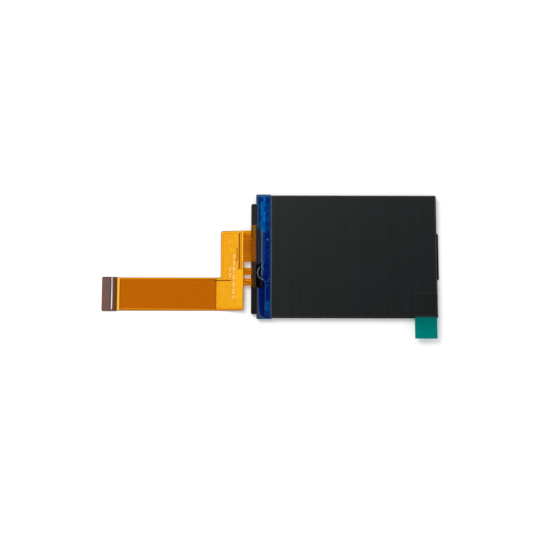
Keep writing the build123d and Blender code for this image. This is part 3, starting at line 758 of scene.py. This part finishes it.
def dress_frame(looks):
    """Gives every CAD node the look of its material slot, and each sheet of glass its own."""
    glass = {"array_glass": "cell_glass_rear", "colour_filter_glass": "cell_glass_front"}
    for part in frame["record"]["subparts"]:
        node = part["node"]
        materials = frame["nodes"][node].data.materials
        materials.clear()
        materials.append(looks[glass.get(node, part["material_slot"])])


def surface_of(node, from_above=True):
    """A function for the height, in millimetres, of a CAD node's upper or lower side at a place in plan."""
    tree = BVHTree.FromObject(frame["nodes"][node], bpy.context.evaluated_depsgraph_get())
    start = 1.0 if from_above else -1.0
    ray = Vector((0.0, 0.0, -start))

    def height(x, y):
        hit = tree.ray_cast(Vector((x * MM, y * MM, start)), ray)[0]
        if hit is None:
            hit = tree.find_nearest(Vector((x * MM, y * MM, 0.0)))[0]
        return hit.z / MM
    return height


def turned(vector, angle):
    """A plan vector turned by an angle."""
    return Matrix.Rotation(angle, 2) @ vector


def rounded(corners, radius, steps=6):
    """Outline through the corners, each rounded by an arc of that radius, or of its own third value."""
    points = []
    count = len(corners)
    for index, corner in enumerate(corners):
        here = Vector(corner[:2])
        bend = corner[2] if len(corner) > 2 else radius
        to_last = (Vector(corners[index - 1][:2]) - here).normalized()
        to_next = (Vector(corners[(index + 1) % count][:2]) - here).normalized()
        half = to_last.angle(to_next) / 2
        if bend <= 0.0:
            points.append(here)
            continue
        cut = bend / math.tan(half)
        centre = here + (to_last + to_next).normalized() * (bend / math.sin(half))
        first = here + to_last * cut - centre
        last = here + to_next * cut - centre
        sweep = -first.angle_signed(last)
        points += [centre + turned(first, sweep * step / steps) for step in range(steps + 1)]
    return points


def rectangle(left, right, low, high, radius=0.1):
    """Rounded rectangle outline."""
    return rounded([(left, low), (right, low), (right, high), (left, high)], radius)


def disc(centre, radius, sides=10):
    """Round outline."""
    arm = Vector((radius, 0.0))
    return [Vector(centre) + turned(arm, 2 * math.pi * side / sides) for side in range(sides)]


def arc(centre, radius, start, end, steps=6):
    """Points along a round arc between two angles."""
    angles = [start + (end - start) * step / steps for step in range(steps + 1)]
    return [(centre[0] + radius * math.cos(angle), centre[1] + radius * math.sin(angle)) for angle in angles]


def dotted(start, end):
    """Small round outlines in a row between two places."""
    start, end = Vector(start), Vector(end)
    count = int((end - start).length / DOT_PITCH)
    return [disc(start.lerp(end, index / count), DOT_RADIUS) for index in range(count + 1)]


def stripe(points, width, steps=5):
    """Outline of a line of even width through the points, with round ends."""
    path = [Vector(point) for point in points]
    runs = [(after - before).normalized() for before, after in zip(path, path[1:])]
    left, right = [], []
    for index, point in enumerate(path):
        last, following = runs[max(index - 1, 0)], runs[min(index, len(runs) - 1)]
        along = (last + following).normalized()
        out = Vector((-along.y, along.x)) * (width / 2 / max(along.dot(last), 0.3))
        left.append(point + out)
        right.append(point - out)

    def cap(centre, start):
        return [centre + turned(start, -math.pi * step / steps) for step in range(1, steps)]

    end = cap(path[-1], left[-1] - path[-1])
    begin = cap(path[0], right[0] - path[0])
    return left + end + right[::-1] + begin


def level_line(left, right, y):
    """Path of a line along X."""
    return [(left, y), (right, y)]


def cut_in_cells(mesh, axis, pitch):
    """Splits the faces at even steps along an axis."""
    places = [vertex.co[axis] for vertex in mesh.verts]
    normal = Vector((0.0, 0.0, 0.0))
    normal[axis] = 1.0
    first = math.floor(min(places) / pitch) + 1
    last = math.ceil(max(places) / pitch)
    for index in range(first, last):
        geometry = list(mesh.verts) + list(mesh.edges) + list(mesh.faces)
        place = normal * (index * pitch)
        bmesh.ops.bisect_plane(mesh, geom=geometry, dist=CUT_SNAP, plane_co=place, plane_no=normal)


def in_scene(name, data):
    """A new object in the scene."""
    thing = bpy.data.objects.new(name, data)
    bpy.context.scene.collection.objects.link(thing)
    return thing


def add_piece(name, mesh, look, rounded_shade=False):
    """Turns a bmesh in millimetres into a piece that rides on the part."""
    bmesh.ops.recalc_face_normals(mesh, faces=mesh.faces)
    for face in mesh.faces:
        face.smooth = rounded_shade
    bmesh.ops.scale(mesh, vec=Vector((MM, MM, MM)), verts=mesh.verts)
    data = bpy.data.meshes.new(name)
    mesh.to_mesh(data)
    mesh.free()
    data.materials.append(look)
    piece = in_scene(name, data)
    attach(piece, "root")
    return piece


def laid(name, outlines, lower, upper, look, cells=(0.0, 0.0), rounded_shade=False):
    """Thin closed sheets with these outlines, between a lower and an upper height over the plan."""
    mesh = bmesh.new()
    for outline in outlines:
        mesh.faces.new([mesh.verts.new((point[0], point[1], 0.0)) for point in outline])
    for axis, pitch in enumerate(cells):
        if pitch > 0.0:
            cut_in_cells(mesh, axis, pitch)
    beneath = list(mesh.verts)
    grown = bmesh.ops.extrude_face_region(mesh, geom=list(mesh.faces))
    above = [item for item in grown["geom"] if isinstance(item, bmesh.types.BMVert)]
    for vertices, height in ((beneath, lower), (above, upper)):
        for vertex in vertices:
            vertex.co.z = height(vertex.co.x, vertex.co.y)
    return add_piece(name, mesh, look, rounded_shade)


def printer(node, looks):
    """A function that lays prints or copper films on a CAD node's upper side, which they follow."""
    surface = surface_of(node)

    def printed(name, outlines, look, rise=FILM_RISE, cell=0.0):
        laid(name, outlines, lambda x, y: surface(x, y) - PRINT_SINK, lambda x, y: surface(x, y) + rise,
             looks[look], (cell, 0.0))
    return printed


def smooth_path(points, per_span=8):
    """Points along a smooth curve through the given ones."""
    control = [Vector(point) for point in points]
    control = [2 * control[0] - control[1]] + control + [2 * control[-1] - control[-2]]
    path = []
    for a, b, c, d in zip(control, control[1:], control[2:], control[3:]):
        for step in range(per_span):
            t = step / per_span
            bend = (2 * a - 5 * b + 4 * c - d) * t * t + (3 * b - a - 3 * c + d) * t * t * t
            path.append(b + ((c - a) * t + bend) / 2)
    path.append(control[-2])
    return path


def bridge(mesh, rings):
    """Faces between each ring of vertices and the next."""
    for ring, following in zip(rings, rings[1:]):
        for side, vertex in enumerate(ring):
            other = (side + 1) % len(ring)
            mesh.faces.new((vertex, ring[other], following[other], following[side]))


def bead(name, points, width, height, surface, look, sides=8, ease=5):
    """A half-round bead along a smooth curve on a surface, running out at both ends."""
    path = smooth_path(points)
    mesh = bmesh.new()
    rings = []
    for index, point in enumerate(path):
        along = (path[min(index + 1, len(path) - 1)] - path[max(index - 1, 0)]).normalized()
        out = Vector((-along.y, along.x))
        from_end = min(index, len(path) - 1 - index)
        share = max(BEAD_TIP, math.sin(math.pi / 2 * min(1.0, from_end / ease)))
        ring = []
        for side in range(sides + 1):
            angle = math.pi * side / sides
            spot = point + out * (math.cos(angle) * width / 2 * share)
            rise = math.sin(angle) * height * share
            ring.append(mesh.verts.new((spot.x, spot.y, surface(point.x, point.y) + rise - PRINT_SINK)))
        rings.append(ring)
    bridge(mesh, rings)
    mesh.faces.new(rings[0])
    mesh.faces.new(rings[-1])
    add_piece(name, mesh, look, True)


def domes(name, places, surface, look, sides=14, rings=5):
    """Low round domes, each given as a place, a radius and a height."""
    mesh = bmesh.new()
    for x, y, radius, height in places:
        base = surface(x, y) - PRINT_SINK
        levels = []
        for ring in range(rings):
            angle = math.pi / 2 * ring / rings
            outline = disc((x, y), radius * math.cos(angle), sides)
            levels.append([mesh.verts.new((*point, base + height * math.sin(angle))) for point in outline])
        crown = mesh.verts.new((x, y, base + height))
        bridge(mesh, levels)
        for side in range(sides):
            mesh.faces.new((levels[-1][side], levels[-1][(side + 1) % sides], crown))
        mesh.faces.new(levels[0])
    add_piece(name, mesh, look, True)


def add_tail_copper(on_flex):
    """Copper field of the tail with its dark border line, and the yellow strip at the stiffener."""
    low = TAIL_LOW + FIELD_BORDER
    high = TAIL_HIGH - FIELD_BORDER
    edge = BORDER_LINE / 2
    field = rectangle(FIELD_LEFT, FIELD_RIGHT, low, high, FIELD_CORNER)
    on_flex("tail_copper_field", [field], "tail_copper", cell=TAIL_CELL)
    strip = rectangle(STRIP_LEFT, STRIP_RIGHT, TAIL_LOW + STRIP_MARGIN, TAIL_HIGH - STRIP_MARGIN)
    on_flex("tail_end_strip", [strip], "ink_yellow")
    paths = (
        [(FIELD_LEFT, low + edge + LOWER_LEAN), (FIELD_RIGHT, low + edge)],
        level_line(FIELD_LEFT, FIELD_RIGHT, high - edge),
        [(FIELD_LEFT + edge, low), (FIELD_LEFT + edge, high)],
        [(FIELD_RIGHT - edge, low), (FIELD_RIGHT - edge, high)],
    )
    border = [stripe(path, BORDER_LINE) for path in paths]
    on_flex("tail_border_lines", border, "ink_border", LINE_RISE, TAIL_CELL)


def add_tail_edges(on_flex):
    """Bright bands along the tail's edges as painted light on the film's shaded bare border, the copper
    wedge under the lower one, and dark rims.
    """
    upper = level_line(FIELD_LEFT, FIELD_RIGHT, TAIL_HIGH - EDGE_BAND_INSET)
    low = TAIL_LOW + EDGE_BAND_INSET
    lower = [(FIELD_LEFT, low + LOWER_LEAN), (FIELD_RIGHT, low), (LOWER_BAND_RIGHT, low)]
    for name, path, ink in (("tail_upper_band", upper, "ink_gold"), ("tail_lower_band", lower, "ink_amber")):
        on_flex(name, [stripe(path, EDGE_BAND)], ink, BAND_RISE, BLOCK_CELL)
    foot = TAIL_LOW + WEDGE_FOOT
    top = TAIL_LOW + WEDGE_TOP
    wedge = [(FIELD_LEFT, foot), (FIELD_RIGHT, foot), (FIELD_RIGHT, top), (FIELD_LEFT, top + LOWER_LEAN)]
    on_flex("tail_lower_wedge", [wedge], "tail_copper", WEDGE_RISE, TAIL_CELL)
    low_rim = level_line(STRIP_LEFT, FIELD_RIGHT, TAIL_LOW + RIM_LINE / 2)
    high_rim = level_line(STRIP_LEFT, BLOCK_LEFT, TAIL_HIGH - RIM_LINE / 2)
    rims = [stripe(path, RIM_LINE) for path in (low_rim, high_rim)]
    on_flex("tail_rim_lines", rims, "ink_edge", RIM_RISE, TAIL_CELL)


def add_tail_traces(looks):
    """Fine copper lines on the tail's underside, from the contacts to the block."""
    under = surface_of("flex_circuit", from_above=False)
    start = box_mm("contact_fingers")[1].x + TRACE_GAP
    middle = (TAIL_LOW + TAIL_HIGH) / 2
    lines = []
    for index in range(TRACE_COUNT):
        y = middle + (index - (TRACE_COUNT - 1) / 2) * TRACE_PITCH
        lines.append(stripe(level_line(start, FIELD_RIGHT, y), TRACE_WIDTH, steps=3))
    laid("tail_traces", lines, lambda x, y: under(x, y) - TRACE_DROP, lambda x, y: under(x, y) + PRINT_SINK,
         looks["trace_copper"], (TRACE_CELL, 0.0))


def add_block_copper(on_flex):
    """Sandy copper pour of the block, with its slit, slot, bracket trace and fine lines."""
    low = TAIL_LOW + POUR_MARGIN
    high = BLOCK_TOP - POUR_MARGIN
    left = BLOCK_LEFT + POUR_MARGIN
    right = BLOCK_RIGHT - POUR_MARGIN
    shoulder = TAIL_HIGH - POUR_MARGIN
    pour = rounded([
        (POUR_LEFT, low, POUR_TAIL_CORNER), (right, low), (right, high, POUR_LEG_CORNER), (left, high),
        (left, shoulder, POUR_SHOULDER), (POUR_LEFT, shoulder, POUR_TAIL_CORNER),
    ], POUR_CORNER)
    on_flex("block_copper_pour", [pour], "flex_pour", cell=BLOCK_CELL)
    slit_y = TAIL_HIGH - FIELD_BORDER - SLIT_DROP
    slit = stripe([(SLIT_START, slit_y), (SLIT_END, slit_y - SLIT_LEAN)], SLIT_WIDTH)
    dark = [stripe(*SLOT_LINE), stripe(*BRACKET_LINE), slit]
    on_flex("block_dark_lines", dark, "ink_dark", DARK_LINE_RISE, BLOCK_CELL)
    fine = [stripe(*line) for line in FINE_LINES]
    on_flex("block_fine_lines", fine, "ink_brown", LINE_RISE, BLOCK_CELL)


def add_block_dots(on_flex):
    """Rows of small dots: a bright one beside the legs, dull ones along the other sides."""
    right = BLOCK_RIGHT - POUR_MARGIN
    bright_x = right - BRIGHT_DOT_INSET
    bright = dotted((bright_x, BRIGHT_DOTS_HIGH), (bright_x, BRIGHT_DOTS_LOW))
    on_flex("block_bright_dots", bright, "ink_bright", LINE_RISE)
    left = BLOCK_LEFT + DOT_INSET
    top = BLOCK_TOP - DOT_INSET
    low = TAIL_LOW + DOT_INSET
    dull = dotted((left, top), (left, LEFT_DOTS_LOW))
    dull += dotted((left + DOT_PITCH, top), (TOP_DOTS_RIGHT, top))
    dull += dotted((POUR_LEFT + LOW_DOTS_START, low), (right - LOW_DOTS_STOP, low))
    on_flex("block_dull_dots", dull, "ink_orange", LINE_RISE)


def add_block_edges(on_flex):
    """Dark line round the block's upper edge with a bright one inside it, and a dark line round its lower
    edge, which is a painted shadow.
    """
    half = EDGE_LINE / 2
    lines = (("block_upper_edge_line", half, EDGE_LINE, "ink_rim"),
             ("block_bright_line", EDGE_LINE + BRIGHT_LINE / 2, BRIGHT_LINE, "ink_yellow"))
    corner = (BLOCK_LEFT + BLOCK_CORNER, BLOCK_TOP - BLOCK_CORNER)
    for name, inset, width, ink in lines:
        path = [(BLOCK_LEFT + inset, TAIL_HIGH)]
        path += arc(corner, BLOCK_CORNER - inset, math.pi, math.pi / 2)
        path += [(BLOCK_RIGHT, BLOCK_TOP - inset)]
        on_flex(name, [stripe(path, width)], ink, LINE_RISE, BLOCK_CELL)
    # Painted shadow along the block's lower and right edges.
    corner = (BLOCK_RIGHT - BLOCK_CORNER, TAIL_LOW + BLOCK_CORNER)
    path = [(FIELD_RIGHT, TAIL_LOW + half)]
    path += arc(corner, BLOCK_CORNER - half, -math.pi / 2, 0.0)
    path += [(BLOCK_RIGHT - half, LEGS_LOW)]
    lower = stripe(path, EDGE_LINE)
    on_flex("block_lower_edge_line", [lower], "ink_edge", LINE_RISE, BLOCK_CELL)


def add_block_ticks(on_flex):
    """Columns of short white ticks."""
    ticks = []
    for start, end, length in TICK_COLUMNS:
        start, end = Vector(start), Vector(end)
        count = round((end - start).length / TICK_PITCH)
        for index in range(count + 1):
            spot = start.lerp(end, index / count)
            share = TICK_LENGTHS[index % len(TICK_LENGTHS)]
            if share > 0.0:
                reach = Vector((length / 2 * share, 0.0))
                ticks.append(stripe([spot - reach, spot + reach], TICK_WIDTH, steps=3))
    on_flex("block_ticks", ticks, "ink_white", LINE_RISE, BLOCK_CELL)


def add_leg_copper(on_flex):
    """Copper on the three legs between the block and the glass, and on the bar above the wide leg."""
    left = BLOCK_RIGHT - LEG_LAP
    low = WIDE_LEG_LOW + WIDE_LEG_MARGIN
    step = BLOCK_TOP - WIDE_LEG_STEP
    top = BAR_TOP - BAR_COPPER_MARGIN
    copper = [rounded([
        (left, low), (WIDE_LEG_RIGHT, low), (WIDE_LEG_RIGHT, top), (BAR_COPPER_LEFT, top),
        (BAR_COPPER_LEFT, step, 0.0), (left, step),
    ], LEG_CORNER)]
    for low, high in NARROW_LEGS:
        leg = rectangle(left, NARROW_LEG_RIGHT, low + NARROW_LEG_MARGIN, high - NARROW_LEG_MARGIN)
        copper.append(leg)
    on_flex("leg_copper", copper, "leg_copper", cell=LEG_CELL)
    start = BLOCK_RIGHT + LEG_LINE_GAP
    lines = [stripe(level_line(start, LEG_LINE_RIGHT, y), width) for y, width in LEG_LINES]
    lines.append(stripe(*LEG_WAVE))
    on_flex("leg_lines", lines, "ink_dark", LINE_RISE, LEG_CELL)
    streaks = [stripe(*streak) for streak in LEG_STREAKS]
    on_flex("leg_streaks", streaks, "ink_gold", LINE_RISE, LEG_CELL)


def add_insertion_mark(looks):
    """White mark across the stiffener that shows how far the tail goes into its socket."""
    low, high = box_mm("flex_stiffener")
    top = high.y - MARK_HIGH_GAP
    foot = low.y + MARK_LOW_GAP
    foot_left = MARK_LEFT + MARK_LEAN
    mark = [(MARK_LEFT, top), (foot_left, foot), (foot_left + MARK_NARROW, foot),
            (MARK_LEFT + MARK_WIDE, top)]
    on_stiffener = printer("flex_stiffener", looks)
    on_stiffener("insertion_mark", [mark], "ink_mark")


def gel_body_share(x, y):
    """1 where the sealant is full and 0 on the thin skin round its edge."""
    if y < GEL_END_START:
        offsets = (x - GEL_END_CENTRE[0], y - GEL_END_CENTRE[1])
        reach = sum((abs(offset) / full) ** GEL_END_POWER for offset, full in zip(offsets, GEL_END_REACH))
        return 1.0 - smooth(reach ** (1 / GEL_END_POWER), *GEL_END_EASE)
    return smooth(x, *GEL_SIDE_EASE) * (1.0 - smooth(y, *GEL_TOP_EASE))


def gel_floor(x, y):
    """Underside of the sealant: on the glass or the flex, and down the glass's edges beyond it."""
    if x < GLASS_LEFT or abs(y) > GLASS_HALF:
        return GLASS_TOP - WRAP_DEPTH
    if x < GEL_ON_FLEX_RIGHT and NOTCH_LOW - GEL_ON_FLEX_LAP < y < BAR_TOP:
        return FLEX_TOP
    return GLASS_TOP


def gel_left(y):
    """Left side of the sealant: drawn in beside the shelf, further out above and below it."""
    if GEL_STEP_LOW < y < GEL_STEP_HIGH:
        return GEL_SHELF_SIDE
    return GEL_LEFT_HIGH if y > 0.0 else GEL_LEFT_LOW


def gel_top(x, y):
    """Upper side of the sealant: a shoulder beside the tape, full over the chip, with small waves."""
    height = GEL_SHOULDER + (GEL_FULL - GEL_SHOULDER) * smooth(x, *GEL_CHIP_EASE)
    height += waves(x, y, *GEL_WAVES)
    height = GEL_SKIN + (height - GEL_SKIN) * gel_body_share(x, y)
    edge = max(0.0, min(x - gel_left(y), GEL_HALF - abs(y), GEL_EDGE))
    top = GLASS_TOP + height - GEL_EDGE_DROP * (1.0 - edge / GEL_EDGE) + GEL_LIP * smooth(x, *GEL_LIP_EASE)
    return max(top, gel_floor(x, y) + GEL_LEAST)


def on_tape(x, y):
    """Height that the sealant's beads lie on: the tape's upper side, or the sealant's beyond it."""
    return TAPE_TOP if x < GEL_TAPE_SIDE and y < NOTCH_LOW else gel_top(x, y)


def add_gel(looks):
    """Blue sealant over the ledge with its edge beads and bubbles, in place of the plain CAD bead."""
    tape_low, tape_high = box_mm("bond_tape")
    above_tape = tape_high.y + GEL_TAPE_GAP
    outline = rounded([
        (GEL_TONGUE_RIGHT, -GEL_HALF), (GEL_TONGUE_RIGHT, GEL_TONGUE_TOP), (GEL_RIGHT, GEL_TONGUE_TOP, 0.0),
        (GEL_RIGHT, GEL_HALF, 0.0), (GEL_LEFT_HIGH, GEL_HALF, GEL_CORNER), (GEL_LEFT_HIGH, GEL_STEP_HIGH),
        (GEL_SHELF_SIDE, GEL_STEP_HIGH), (GEL_SHELF_SIDE, above_tape), (NOTCH_LEFT, above_tape),
        (NOTCH_LEFT, NOTCH_LOW), (GEL_TAPE_SIDE, NOTCH_LOW), (GEL_TAPE_SIDE, tape_low.y),
        (GEL_SHELF_SIDE, tape_low.y, 0.0), (GEL_SHELF_SIDE, GEL_STEP_LOW), (GEL_LEFT_LOW, GEL_STEP_LOW),
        (GEL_LEFT_LOW, -GEL_HALF, GEL_CORNER),
    ], GEL_ROUND)
    gel = laid("ledge_gel", [outline], gel_floor, gel_top, looks["sealant_blue"],
               (GEL_CELL, GEL_CELL), True)
    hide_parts("ledge_sealant")
    for name, (look, width, height, path) in GEL_BEADS.items():
        bead(name, path, width, height, on_tape, looks[look])
    domes("gel_bubbles", GEL_BUBBLES, gel_top, looks["bubble"])


def add_tape(looks):
    """Black tape over the flex bond with softly pressed edges, in place of the plain CAD strip."""
    low, high = box_mm("bond_tape")

    def top(x, y):
        edge = min(x - low.x, high.x - x, y - low.y, high.y - y, TAPE_EDGE)
        pressed = TAPE_EDGE_DROP * (1.0 - edge / TAPE_EDGE) ** 2
        swell = math.exp(-((x - CREASE_X) / CREASE_SPREAD) ** 2) * smooth(-y, *CREASE_EASE)
        return TAPE_TOP - pressed + CREASE_SWELL * swell + waves(x, y, *TAPE_WAVES)

    outline = rounded([
        (low.x, low.y, TAPE_CORNERS["low"]), (high.x, low.y, TAPE_CORNERS["low"]), (high.x, NOTCH_LOW),
        (NOTCH_LEFT, NOTCH_LOW), (NOTCH_LEFT, high.y, TAPE_CORNERS["notch"]),
        (low.x, high.y, TAPE_CORNERS["left"]),
    ], TAPE_CORNERS["inner"])
    tape = laid("bond_tape_sheet", [outline], lambda x, y: FLEX_TOP, top, looks["tape_black"],
                TAPE_CELLS, True)
    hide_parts("bond_tape")
    # The crease is a real swell of the tape, and its lighter colour a painted highlight.
    bead("tape_crease", CREASE_PATH, CREASE_WIDTH, CREASE_HEIGHT, top, looks["crease_highlight"])


def add_floor():
    """Plain white floor that keeps the part's shadow and clips to white away from it."""
    half = FLOOR_SIDE / 2
    data = bpy.data.meshes.new("floor")
    signs = ((-1, -1), (1, -1), (1, 1), (-1, 1))
    corners = [mm(half * across, half * along, -FLOOR_GAP) for across, along in signs]
    data.from_pydata(corners, [], [(0, 1, 2, 3)])
    look = Look("floor_white")
    paper = look.tones(look.noise(2.0), (249, 249, 249), (251, 251, 251))
    rays = look.add("LightPath", {}).outputs
    seen = look.math("MAXIMUM", rays["Is Camera Ray"], rays["Is Glossy Ray"])
    seen = look.math("MAXIMUM", seen, rays["Is Transmission Ray"])
    glow = look.math("MULTIPLY", seen, FLOOR_GLOW)
    look.set(Base_Color=paper, Roughness=0.9, Specular_IOR_Level=0.1)
    look.set(Emission_Color=WHITE, Emission_Strength=glow)
    data.materials.append(look.material)
    floor = in_scene("floor", data)


def add_sky():
    """Soft studio surroundings, dim near overhead so that the dark screen stays dark."""
    world = bpy.data.worlds.new("studio")
    world.use_nodes = True
    bpy.context.scene.world = world
    tree = world.node_tree
    view = add_node(tree, "TexCoord", {}).outputs["Generated"]
    inputs = {0: view, 1: Vector(SKY_DIM_TOWARDS).normalized()}
    towards = add_node(tree, "VectorMath", inputs, operation="DOT_PRODUCT").outputs["Value"]
    start, end = math.cos(SKY_DIM_OUTER), math.cos(SKY_DIM_INNER)
    background = tree.nodes["Background"].inputs
    put(tree, background["Color"], WHITE)
    put(tree, background["Strength"], eased(tree, towards, SKY_LEVEL, SKY_DIM, start, end))


def add_key_light():
    """One soft box at the upper left, aimed at the part."""
    light = bpy.data.lights.new("key", "AREA")
    light.size = KEY_SIZE
    light.energy = KEY_WATTS
    lamp = in_scene("key", light)
    lamp.location = mm(*KEY_PLACE)
    aim = mm(*CAMERA_TARGET, 0.0) - lamp.location
    lamp.rotation_euler = aim.to_track_quat("-Z", "Y").to_euler()


def add_camera():
    """Camera at the photograph's viewing angle."""
    data = bpy.data.cameras.new("camera")
    data.sensor_width = SENSOR
    data.lens = FOCAL_PIXELS / PHOTO_SIZE * SENSOR
    data.clip_start = CLIP_NEAR
    data.clip_end = CLIP_FAR
    camera = in_scene("camera", data)
    turn = Matrix.Rotation(CAMERA_TILT, 3, "X") @ Matrix.Rotation(CAMERA_ROLL, 3, "Z")
    camera.location = mm(*CAMERA_TARGET, 0.0) + turn @ mm(0.0, 0.0, CAMERA_DISTANCE)
    camera.rotation_euler = turn.to_euler()
    bpy.context.scene.camera = camera


looks = make_looks()
dress_frame(looks)
on_flex = printer("flex_circuit", looks)
add_tail_copper(on_flex)
add_tail_edges(on_flex)
add_tail_traces(looks)
add_block_copper(on_flex)
add_block_dots(on_flex)
add_block_edges(on_flex)
add_block_ticks(on_flex)
add_leg_copper(on_flex)
add_insertion_mark(looks)
add_gel(looks)
add_tape(looks)
add_floor()
add_sky()
add_key_light()
add_camera()
bpy.context.scene.view_settings.view_transform = "Standard"
